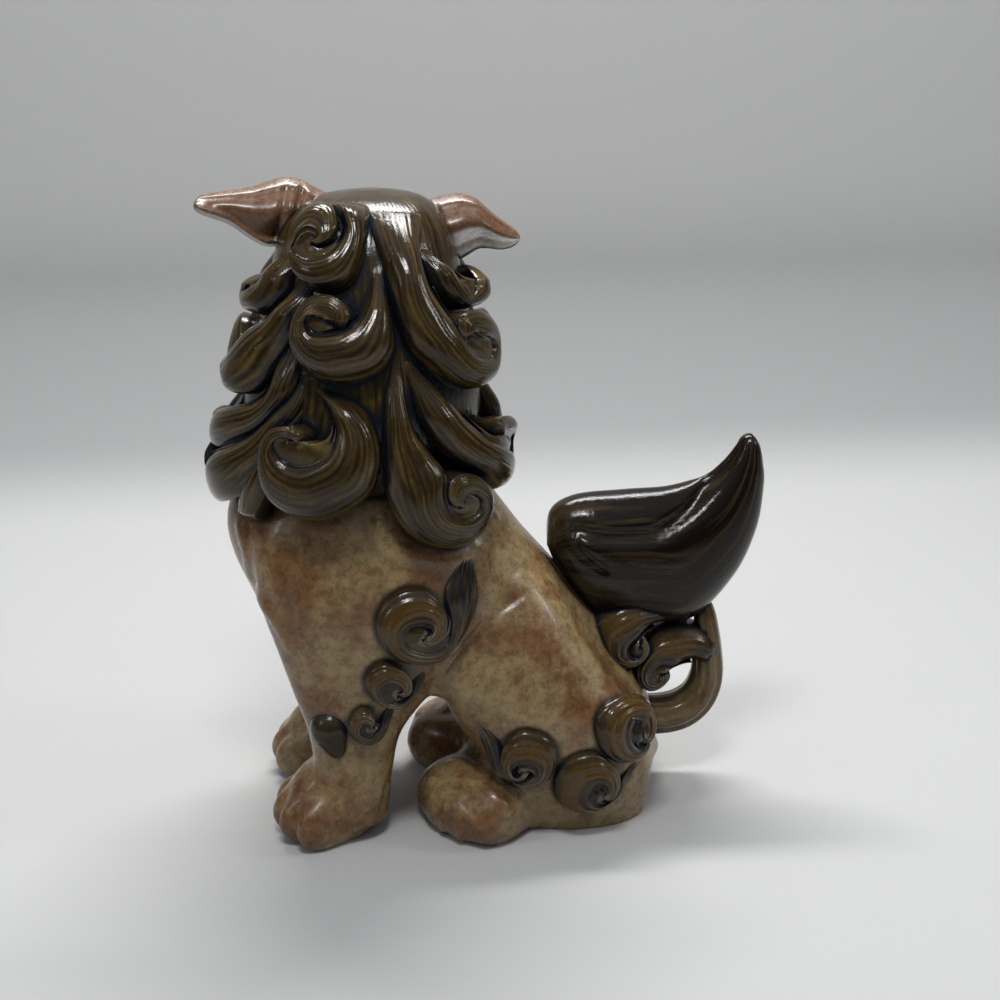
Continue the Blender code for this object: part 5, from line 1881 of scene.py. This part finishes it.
@dataclass
class Face:
    """The face, which the photograph doesn't show: broad muzzle, round eyes, heavy brows."""

    x: float = -0.041
    tilt: float = math.radians(5.5)
    pivot: float = 0.15
    eye_radius: float = 0.0062
    eye_spread: float = 0.014
    eye_height: float = 0.1655
    eye_y: float = 0.0265
    mouth: float = 0.149
    step: float = 0.0005

    def turned(self, points: Array) -> Array:
        """Points tilted with the head.

        Args:
            points: One row for each.

        Returns:
            The same, turned.
        """
        c, s = math.cos(self.tilt), math.sin(self.tilt)
        x, z = points[:, 0] - self.x, points[:, 2] - self.pivot
        return np.stack([self.x + c * x + s * z, points[:, 1], self.pivot - s * x + c * z], 1)

    def block(self) -> Clay:
        """An empty block round the face."""
        step = self.step * 1.0
        return Clay((-0.072, 0.006, 0.118), (-0.01, 0.054, 0.19), step)

    def piece(self, name: str, clay: Clay) -> Object:
        """Skin a block as a tilted piece."""
        points, faces = largest_island(*clay.surface())
        return make_object(name, self.turned(points), faces)

    def lumps(self, single: tuple[Lump, ...], paired: tuple[Lump, ...] = ()) -> Clay:
        """A block with lumps on the middle and pairs of lumps beside it.

        Args:
            single: Lumps on the middle, pressed on first.
            paired: Lumps on both sides of it.

        Returns:
            The block.
        """
        clay = self.block()
        for side, lump in [(0, lump) for lump in single] + [(side, lump) for side in (-1, 1) for lump in paired]:
            egg = Egg((self.x + (side or 1) * lump.aside, lump.y, lump.z), lump.half)
            (clay.carve if lump.carved else clay.add)(egg, lump.blend)
        return clay

    def muzzle(self) -> Clay:
        """The muzzle with its groove and the dots of its whiskers.

        Returns:
            Its block.
        """
        x, mouth = self.x, self.mouth
        clay = self.lumps((Lump(0, 0.029, mouth, (0.0185, 0.0145, 0.0105)),),
                          (Lump(0.0098, 0.0335, mouth - 0.0005, (0.01, 0.0115, 0.0098), 0.003),))
        clay.stroke(np.array([(x, 0.046, mouth + 0.008), (x, 0.0455, mouth), (x, 0.043, mouth - 0.01)]),
                    0.0011, -0.0012)
        for side, row in ((side, row) for side in (-1, 1) for row in range(3)):
            spot = np.array([x + side * (0.008 + 0.0035 * row), 0.0445 - 0.0012 * row,
                             mouth + 0.001 - 0.0022 * row])
            clay.stroke(np.array([spot, spot + (0, 0.0005, 0.0002)]), 0.001, 0.0009)
        return clay

    def jaw(self) -> Clay:
        """The lower jaw and the ridge of its lip.

        Returns:
            Its block.
        """
        x, mouth = self.x, self.mouth
        clay = self.lumps((Lump(0, 0.0275, mouth - 0.017, (0.0155, 0.0145, 0.0058)),
                           Lump(0, 0.036, mouth - 0.0165, (0.0085, 0.0065, 0.0054), 0.003)))
        clay.stroke(np.array([(x - 0.012, 0.039, mouth - 0.012), (x, 0.0425, mouth - 0.0125),
                              (x + 0.012, 0.039, mouth - 0.012)]), 0.0012, 0.0008)
        return clay

    def brow(self, side: int) -> Clay:
        """The roll of clay over one eye.

        Args:
            side: -1 for the left one, 1 for the right one.

        Returns:
            Its block.
        """
        clay = self.block()
        share = np.linspace(0, 1, 9)
        angle = np.radians(215 - 200 * share)
        reach = self.eye_radius + 0.003
        line = np.stack([self.x + side * self.eye_spread + side * np.cos(angle) * reach,
                         0 * angle + self.eye_y + 0.0015, self.eye_height + np.sin(angle) * reach], 1)
        clay.add(Roll(line, 0.0038 * (0.45 + 0.55 * np.sin(math.pi * (0.12 + 0.76 * share)))), SHARP)
        return clay

    def build(self) -> list[Object]:
        """Model the mask of the face, the muzzle, jaw, nose, eyes and brows.

        Returns:
            One closed object for each of them.
        """
        spread, height, top = self.eye_spread, self.eye_height, self.mouth + 0.0095
        mask = self.lumps((Lump(0, 0.016, 0.163, (0.024, 0.0185, 0.02)),
                           Lump(0, 0.026, 0.161, (0.006, 0.012, 0.013), 0.004)),
                          (Lump(0.0175, 0.018, 0.1475, (0.0105, 0.0145, 0.011), 0.005),
                           Lump(spread, 0.024, height + 0.0015, (0.0088, 0.007, 0.008), 0.003),
                           Lump(spread, self.eye_y + 0.0045, height, (0.0072, 0.0075, 0.0064), 0.0015, True)))
        nose = self.lumps((Lump(0, 0.0425, top, (0.007, 0.0042, 0.005)),),
                          (Lump(0.006, 0.042, top - 0.001, (0.0034, 0.0036, 0.0036), 0.002),
                           Lump(0.0048, 0.0462, top - 0.0022, (0.0016, 0.002, 0.0013), 0.0008, True)))
        made = [self.piece("face", mask), self.piece("muzzle", self.muzzle()),
                self.piece("lower_jaw", self.jaw()), self.piece("nose", nose)]
        for side, word in ((-1, "left"), (1, "right")):
            eye = self.lumps((Lump(side * spread, self.eye_y, height, (self.eye_radius,) * 3),))
            made += [self.piece("eye_" + word, eye), self.piece("brow_" + word, self.brow(side))]
        return made


# Finishes

def depth_and_painted_shade_group() -> Tree:
    """How thick the glaze lies, pooled in creases and thin over ridges, with painted shade where the figure comes close
    over hollows.

    Returns:
        The tree.
    """
    w, given, result = open_tree(
        "glaze_depth", "ShaderNodeTree",
        (("Crease", NUMBER, 1.0), ("Hollow", NUMBER, 0.5), ("Ridge", NUMBER, 1.0)),
        (("Pool", NUMBER), ("Break", NUMBER)))
    crease = w.times(w.ramp(w.attribute("crease"), 0.06, 0.75), given["Crease"])
    hollow = w.times(w.ramp(w.attribute("hollow"), 0.15, 0.85), given["Hollow"])
    # Glaze pooled in creases plus painted shade in hollows; together they take the dark pooled colour.
    pool_and_painted_shade = w.math("ADD", crease, hollow, clamp=True)
    edge = w.times(w.ramp(w.attribute("ridge"), 0.1, 0.6), given["Ridge"])
    thin = w.times(edge, w.math("SUBTRACT", 1.0, pool_and_painted_shade), clamp=True)
    w.feed(pool_and_painted_shade, result["Pool"])
    w.feed(thin, result["Break"])
    return w.tree


def streak_group() -> Tree:
    """Streaks of glaze that run along a lock.

    Returns:
        The tree.
    """
    w, given, result = open_tree(
        "flow_streaks", "ShaderNodeTree",
        (("Across", NUMBER, 12.0), ("Along", NUMBER, 0.8), ("Low", NUMBER, 0.45), ("High", NUMBER, 0.65),
         ("Seed", NUMBER, 1.0)), (("Streak", NUMBER),))
    place = w.vector(w.times(w.attribute("across"), given["Across"]),
                     w.times(w.attribute("along"), given["Along"]), given["Seed"])
    value = w.noise(place, 1.0, 3.0, 0.6, 0.3)
    w.feed(w.ramp(value, given["Low"], given["High"]), result["Streak"])
    return w.tree


def mottle_group() -> Tree:
    """Cloudy patches and fine specks of a kiln glaze.

    Returns:
        The tree.
    """
    w, given, result = open_tree(
        "kiln_mottle", "ShaderNodeTree",
        (("Patch Size", NUMBER, 70.0), ("Speck Size", NUMBER, 900.0), ("Speck Share", NUMBER, 0.3)),
        (("Patch", NUMBER), ("Fine", NUMBER), ("Speck", NUMBER), ("Grain", NUMBER)))
    place = w.node("ShaderNodeTexCoord").outputs["Object"]
    patch = w.noise(place, given["Patch Size"], 6.0, 0.7)
    fine = w.noise(place, w.times(given["Patch Size"], 9.0), 4.0, 0.7)
    dots = w.tree.nodes.new("ShaderNodeTexVoronoi")
    w.feed(place, dots.inputs["Vector"])
    w.feed(given["Speck Size"], dots.inputs["Scale"])
    near = w.ramp(dots.outputs["Distance"], 0.1, 0.34, 1.0, 0.0)
    chosen = w.math("LESS_THAN", w.node("ShaderNodeSeparateColor", n0=dots.outputs["Color"]).outputs[0],
                    given["Speck Share"])
    w.feed(w.ramp(patch, 0.4, 0.58), result["Patch"])
    w.feed(w.ramp(fine, 0.34, 0.66), result["Fine"])
    w.feed(w.times(near, chosen), result["Speck"])
    w.feed(w.noise(place, 2600.0, 2.0, 0.5), result["Grain"])
    return w.tree


@dataclass(frozen=True)
class Glaze:
    """A glaze: its colours where it lies full, thin and streaked, its pooled colour, which also serves as painted shade
    in hollows, and its gloss.
    """

    name: str
    slot: str
    full: Triple
    streak: Triple
    thin: Triple
    # The pooled colour goes into creases where glaze gathers and, as painted shade, into hollows.
    pooled_and_painted_shade: Triple
    speck: Triple
    streak_across: float = 12.0
    streak_along: float = 0.8
    streak_low: float = 0.45
    streak_high: float = 0.65
    patch: Triple | None = None
    patch_amount: float = 0.0
    patch_size: float = 70.0
    fine_amount: float = 0.3
    speck_amount: float = 0.2
    speck_share: float = 0.3
    # How strongly the pooled colour goes into creases, and how strongly painted shade goes into hollows.
    crease: float = 1.0
    hollow: float = 0.4
    comb: float = 0.5
    ridge: float = 1.0
    roughness: float = 0.12
    rough_spread: float = 0.06
    specular: float = 0.4
    coat: float = 0.0
    coat_roughness: float = 0.05
    bump: float = 0.00004
    # Heart colour: amber on raised curls, and on the ears' undersides a painted reflection of the floor.
    heart: Triple | None = None
    lined: Triple | None = None

    def build(self, groups: dict[str, Tree]) -> bpy.types.Material:
        """Make the material.

        Args:
            groups: The shared node groups, by name.

        Returns:
            The new material.
        """
        made = bpy.data.materials.new(self.name)
        made.use_nodes = True
        made.diffuse_color = (*self.full, 1.0)
        tree = made.node_tree
        tree.nodes.clear()
        w = Wiring(tree)
        shader = tree.nodes.new("ShaderNodeBsdfPrincipled")
        output = tree.nodes.new("ShaderNodeOutputMaterial")
        w.feed(shader.outputs[0], output.inputs[0])
        # The depth group gives glaze pooled in creases together with painted shade in hollows, and thin glaze over
        # ridges.
        depth = w.node("ShaderNodeGroup", {"node_tree": groups["depth"]}, Crease=self.crease, Hollow=self.hollow,
                       Ridge=self.ridge).outputs
        streak = w.node("ShaderNodeGroup", {"node_tree": groups["streak"]}, Across=self.streak_across,
                        Along=self.streak_along, Low=self.streak_low, High=self.streak_high,
                        Seed=float(len(self.name))).outputs[0]
        mottle = w.node("ShaderNodeGroup", {"node_tree": groups["mottle"]}, Patch_Size=self.patch_size,
                        Speck_Share=self.speck_share).outputs
        colour = w.mix(streak, (*self.full, 1), (*self.streak, 1))
        if self.patch is not None:
            colour = w.mix(w.times(mottle["Patch"], self.patch_amount), colour, (*self.patch, 1))
        if self.lined is not None:
            combed = w.times(w.attribute("combed"), self.comb, clamp=True)
            colour = w.mix(combed, colour, (*self.lined, 1))
        # The heart colour: amber on curls, a painted reflection on the ear's underside.
        if self.heart is not None:
            colour = w.mix(w.attribute("heart"), colour, (*self.heart, 1))
        colour = w.mix(depth["Break"], colour, (*self.thin, 1))
        # Creases and hollows take the dark pooled colour: partly real pooled glaze, partly painted shade.
        colour = w.mix(depth["Pool"], colour, (*self.pooled_and_painted_shade, 1))
        shade = w.math("MULTIPLY_ADD", mottle["Fine"], self.fine_amount, 1 - self.fine_amount / 2)
        colour = w.mix(1.0, colour, w.vector(shade, shade, shade), "MULTIPLY")
        colour = w.mix(w.times(mottle["Speck"], self.speck_amount), colour, (*self.speck, 1))
        w.feed(colour, shader.inputs["Base Color"])
        rough = w.math("MULTIPLY_ADD", mottle["Fine"], self.rough_spread, self.roughness)
        w.feed(rough, shader.inputs["Roughness"])
        shader.inputs["Specular IOR Level"].default_value = self.specular
        if self.coat:
            shader.inputs["Coat Weight"].default_value = self.coat
            shader.inputs["Coat Roughness"].default_value = self.coat_roughness
        rise = w.math("MULTIPLY_ADD", mottle["Fine"], 0.6, w.times(mottle["Grain"], 0.4))
        bump = w.node("ShaderNodeBump", Height=rise, Distance=self.bump, Strength=1.0)
        w.feed(bump.outputs[0], shader.inputs["Normal"])
        return made


# The hollow weights below set how much painted shade each glaze takes in hollows.
MANE_GLAZE = Glaze("mane_glaze", "mane_glaze", (0.033, 0.02, 0.006), (0.088, 0.058, 0.017), (0.115, 0.078, 0.03),
                   (0.006, 0.009, 0.014), (0.02, 0.015, 0.01), 6.0, 0.5, 0.42, 0.7, lined=(0.007, 0.004, 0.002),
                   comb=0.85, crease=0.9, hollow=0.7, ridge=0.7, roughness=0.035, rough_spread=0.02, specular=0.32)
CURL_GLAZE = Glaze("curl_glaze", "curl_glaze", (0.021, 0.014, 0.005), (0.046, 0.033, 0.014), (0.128, 0.105, 0.07),
                   (0.008, 0.012, 0.02), (0.02, 0.015, 0.01), 4.0, 0.6, lined=(0.009, 0.012, 0.016), comb=0.9,
                   crease=0.9, hollow=0.3, ridge=1.0, roughness=0.045, rough_spread=0.03, specular=0.32,
                   heart=(0.076, 0.04, 0.008))
RING_GLAZE = replace(CURL_GLAZE, name="ring_glaze", full=(0.095, 0.064, 0.03),
                     streak=(0.13, 0.092, 0.046), thin=(0.17, 0.125, 0.07), hollow=0.2, roughness=0.1)
PLUME_GLAZE = Glaze("plume_glaze", "plume_glaze", (0.0055, 0.003, 0.0018), (0.034, 0.024, 0.012),
                    (0.04, 0.026, 0.012), (0.004, 0.005, 0.007), (0.02, 0.015, 0.01), 14.0, 0.25, 0.42, 0.68,
                    crease=0.7, hollow=0.3, roughness=0.03, rough_spread=0.02, specular=0.25, comb=0.0)
BODY_GLAZE = Glaze("body_glaze", "body_glaze", (0.136, 0.063, 0.024), (0.136, 0.063, 0.024), (0.29, 0.206, 0.114),
                   (0.038, 0.023, 0.013), (0.032, 0.018, 0.01), patch=(0.228, 0.163, 0.076), patch_amount=0.95,
                   patch_size=38.0, fine_amount=0.5, speck_amount=0.55, speck_share=0.45, hollow=0.35, comb=0.0,
                   ridge=0.6, roughness=0.24, rough_spread=0.14, coat=0.12, coat_roughness=0.08, bump=0.00006)
# The ear's near-white heart colour is a painted reflection of the floor on the right ear's underside.
EAR_GLAZE = Glaze("ear_glaze", "ear_glaze", (0.105, 0.042, 0.017), (0.105, 0.042, 0.017), (0.18, 0.105, 0.058),
                  (0.06, 0.034, 0.022), (0.06, 0.03, 0.02), patch=(0.132, 0.078, 0.042), patch_amount=0.7,
                  patch_size=60.0, fine_amount=0.35, speck_amount=0.4, speck_share=0.3, crease=0.4, hollow=0.1,
                  comb=0.0, ridge=0.6, roughness=0.22, rough_spread=0.12, coat=0.2, coat_roughness=0.08,
                  heart=(0.85, 0.825, 0.795))
EYE_GLAZE = Glaze("eye_glaze", "eye_glaze", (0.01, 0.009, 0.009), (0.016, 0.012, 0.01), (0.02, 0.015, 0.012),
                  (0.006, 0.006, 0.006), (0.01, 0.01, 0.01), roughness=0.05, rough_spread=0.02, comb=0.0)
TAIL_GLAZES = {"tail_plume": PLUME_GLAZE, "tail_ring": RING_GLAZE}
GLAZES = (MANE_GLAZE, CURL_GLAZE, RING_GLAZE, PLUME_GLAZE, BODY_GLAZE, EAR_GLAZE, EYE_GLAZE)


# The studio

@dataclass(frozen=True)
class Lamp:
    """A soft rectangular lamp: its place, what it points at, its size and its power in watts."""

    name: str
    place: Triple
    aim: Triple
    size: Pair
    power: float

    def build(self) -> None:
        """Hang the lamp."""
        data = bpy.data.lights.new(self.name, "AREA")
        data.shape = "RECTANGLE"
        data.size, data.size_y = self.size
        data.energy = self.power
        obj = placed(self.name, data)
        obj.location = self.place
        obj.rotation_euler = (Vector(self.aim) - Vector(self.place)).to_track_quat("-Z", "Y").to_euler()


@dataclass
class Studio:
    """The pale floor that turns up behind, the lamps and the camera."""

    wall_y: float = 0.36
    cove: float = 0.1
    floor_colour: Triple = (0.45, 0.45, 0.445)
    wall_colour: Triple = (0.47, 0.47, 0.465)
    cove_painted_shade: Triple = (0.3, 0.3, 0.3)
    near_y: float = -0.5
    half_width: float = 2.2
    wall_top: float = 1.8
    air_colour: Triple = (0.82, 0.86, 0.92)
    air_strength: Pair = (0.07, 0.65)
    sensor: float = 36.0

    LAMPS = (
        Lamp("window", (0.03, 0.29, 0.8), (0, 0.0, 0.05), (0.55, 0.08), 7.0),
        Lamp("panes", (-0.1, -0.34, 0.74), (0, 0, 0.12), (0.18, 0.1), 2.5),
        Lamp("side_lamp", (0.7, -0.2, 0.5), (0, 0, 0.08), (0.1, 0.22), 1.0),
        Lamp("left_glow", (-0.62, -0.3, 0.42), (0, 0, 0.1), (0.08, 0.16), 0.3),
    )

    def backdrop(self) -> None:
        """A floor with a curved rise into a wall, which only shows its front, with painted shade darkening the cove and
        the foot of the wall against the stronger light there.
        """
        bend = self.wall_y - self.cove
        turns = (math.pi / 2 * k / 16 for k in range(1, 17))
        profile = [(self.near_y, 0.0), (bend, 0.0)]
        profile += [(bend + self.cove * math.sin(turn), self.cove * (1 - math.cos(turn))) for turn in turns]
        profile.append((self.wall_y, self.wall_top))
        points = [(side * self.half_width, y, z) for y, z in profile for side in (-1, 1)]
        faces = [(a - 2, a - 1, a + 1, a) for a in range(2, len(points), 2)]
        mesh = bpy.data.meshes.new("backdrop")
        mesh.from_pydata(points, [], faces)
        mesh.shade_smooth()
        obj = placed("backdrop", mesh)
        made = bpy.data.materials.new("backdrop_paper")
        made.use_nodes = True
        w = Wiring(made.node_tree)
        shader = made.node_tree.nodes["Principled BSDF"]
        place = w.node("ShaderNodeSeparateXYZ", Vector=w.node("ShaderNodeTexCoord").outputs["Object"])
        rise = w.ramp(w.math("ADD", place.outputs["Z"], w.times(place.outputs["Y"], 0.25)), 0.062, 0.104)
        # Painted shade: the cove and the foot of the wall are darker than the floor and the wall, against the stronger
        # light there.
        upper = w.mix(w.ramp(place.outputs["Z"], 0.02, 0.16), (*self.cove_painted_shade, 1), (*self.wall_colour, 1))
        w.feed(w.mix(rise, (*self.floor_colour, 1), upper), shader.inputs["Base Color"])
        shader.inputs["Roughness"].default_value = 0.85
        shader.inputs["Specular IOR Level"].default_value = 0.15
        behind = w.node("ShaderNodeNewGeometry").outputs["Backfacing"]
        clear = w.node("ShaderNodeBsdfTransparent").outputs[0]
        seen = w.node("ShaderNodeMixShader", n0=behind, n1=shader.outputs[0], n2=clear).outputs[0]
        w.feed(seen, made.node_tree.nodes["Material Output"].inputs["Surface"])
        mesh.materials.append(made)

    def air(self) -> None:
        """A cool light all round, strong from above and faint from the sides."""
        world = bpy.data.worlds.new("studio_air")
        world.use_nodes = True
        background = world.node_tree.nodes["Background"]
        w = Wiring(world.node_tree)
        aim = w.node("ShaderNodeSeparateXYZ", Vector=w.node("ShaderNodeTexCoord").outputs["Generated"])
        w.feed(w.ramp(aim.outputs["Z"], 0.05, 0.95, *self.air_strength), background.inputs["Strength"])
        background.inputs["Color"].default_value = (*self.air_colour, 1)
        bpy.context.scene.world = world

    def camera(self) -> None:
        """A camera at the photograph's viewpoint."""
        data = bpy.data.cameras.new("camera")
        data.sensor_width = self.sensor
        data.lens = self.sensor * SIGHT.focal
        data.clip_start = 0.01
        camera = placed("camera", data)
        camera.matrix_world = SIGHT.matrix()
        bpy.context.scene.camera = camera

    def build(self) -> None:
        """Set the backdrop, lamps, world and camera."""
        self.backdrop()
        for lamp in self.LAMPS:
            lamp.build()
        self.air()
        self.camera()
        bpy.context.scene.view_settings.view_transform = "Standard"


# The whole figure

@dataclass
class Figure:
    """Gathers the pieces, works the glaze into them and hands them over."""

    body: Body = field(default_factory=Body)
    mane: Mane = field(default_factory=Mane)
    tail: Tail = field(default_factory=Tail)
    ears: Ears = field(default_factory=Ears)
    face: Face = field(default_factory=Face)
    comb_depth: float = 0.6
    pieces: list[tuple[Object, Glaze, Strand | None]] = field(default_factory=list)

    def model(self) -> None:
        """Model every piece."""
        self.pieces += [(obj, BODY_GLAZE, None) for obj in self.body.build()]
        self.pieces += [(obj, MANE_GLAZE, strand) for obj, strand in self.mane.build()]
        self.pieces += [(obj, CURL_GLAZE, strand) for obj, strand in Flanks(self.body).build()]
        for obj, strand in self.tail.build():
            self.pieces.append((obj, TAIL_GLAZES.get(obj.name.split(".")[0], CURL_GLAZE), strand))
        self.pieces += [(obj, EAR_GLAZE, None) for obj in self.ears.build()]
        for obj in self.face.build():
            eye, brow = obj.name.startswith("eye"), obj.name.startswith("brow")
            self.pieces.append((obj, EYE_GLAZE if eye else MANE_GLAZE if brow else BODY_GLAZE, None))

    def joined(self) -> Object:
        """One mesh of the whole figure, to feel how near its surfaces come.

        Returns:
            A throwaway object.
        """
        copies = [placed("twin", obj.data.copy()) for obj, _, _ in self.pieces]
        with bpy.context.temp_override(active_object=copies[0], selected_editable_objects=copies,
                                       selected_objects=copies, object=copies[0]):
            bpy.ops.object.join()
        return copies[0]

    def dress(self) -> None:
        """Comb the locks, find where the glaze gathers and where hollows get painted shade, and give each piece its
        glaze.
        """
        groups = {"depth": depth_and_painted_shade_group(), "streak": streak_group(), "mottle": mottle_group()}
        materials = {glaze.name: glaze.build(groups) for glaze in GLAZES}
        comb, pool_and_painted_shade = comb_tree(), gathers_and_painted_shade_tree()
        for index, (obj, glaze, strand) in enumerate(self.pieces):
            if strand is not None:
                apply_tree(obj, comb, {"Strokes": strand.strokes, "Depth": self.comb_depth * strand.depth * MM,
                                       "Seed": float(index), "Glaze": materials[glaze.name]})
        whole = self.joined()
        for obj, glaze, _ in self.pieces:
            apply_tree(obj, pool_and_painted_shade, {"Figure": whole, "Glaze": materials[glaze.name]})
        bpy.data.objects.remove(whole)

    def hand_over(self) -> None:
        """Name what each piece stands for and what it rides on."""
        for obj, glaze, _ in self.pieces:
            node = "head" if obj.name == "face" else obj.name.split(".")[0]
            if obj.name != "face":
                obj.name = obj.name.replace(".", "_").removesuffix("_001") + "_glazed"
            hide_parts(node)
            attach(obj, "root")
            LOG.info("%s stands for %s: %d faces", obj.name, node, len(obj.data.polygons))


def main() -> None:
    """Build the studio and the figure."""
    logging.basicConfig(level=logging.INFO, format="%(name)s: %(message)s")
    Studio().build()
    figure = Figure()
    figure.model()
    figure.dress()
    figure.hand_over()


if __name__ == "__main__":
    main()
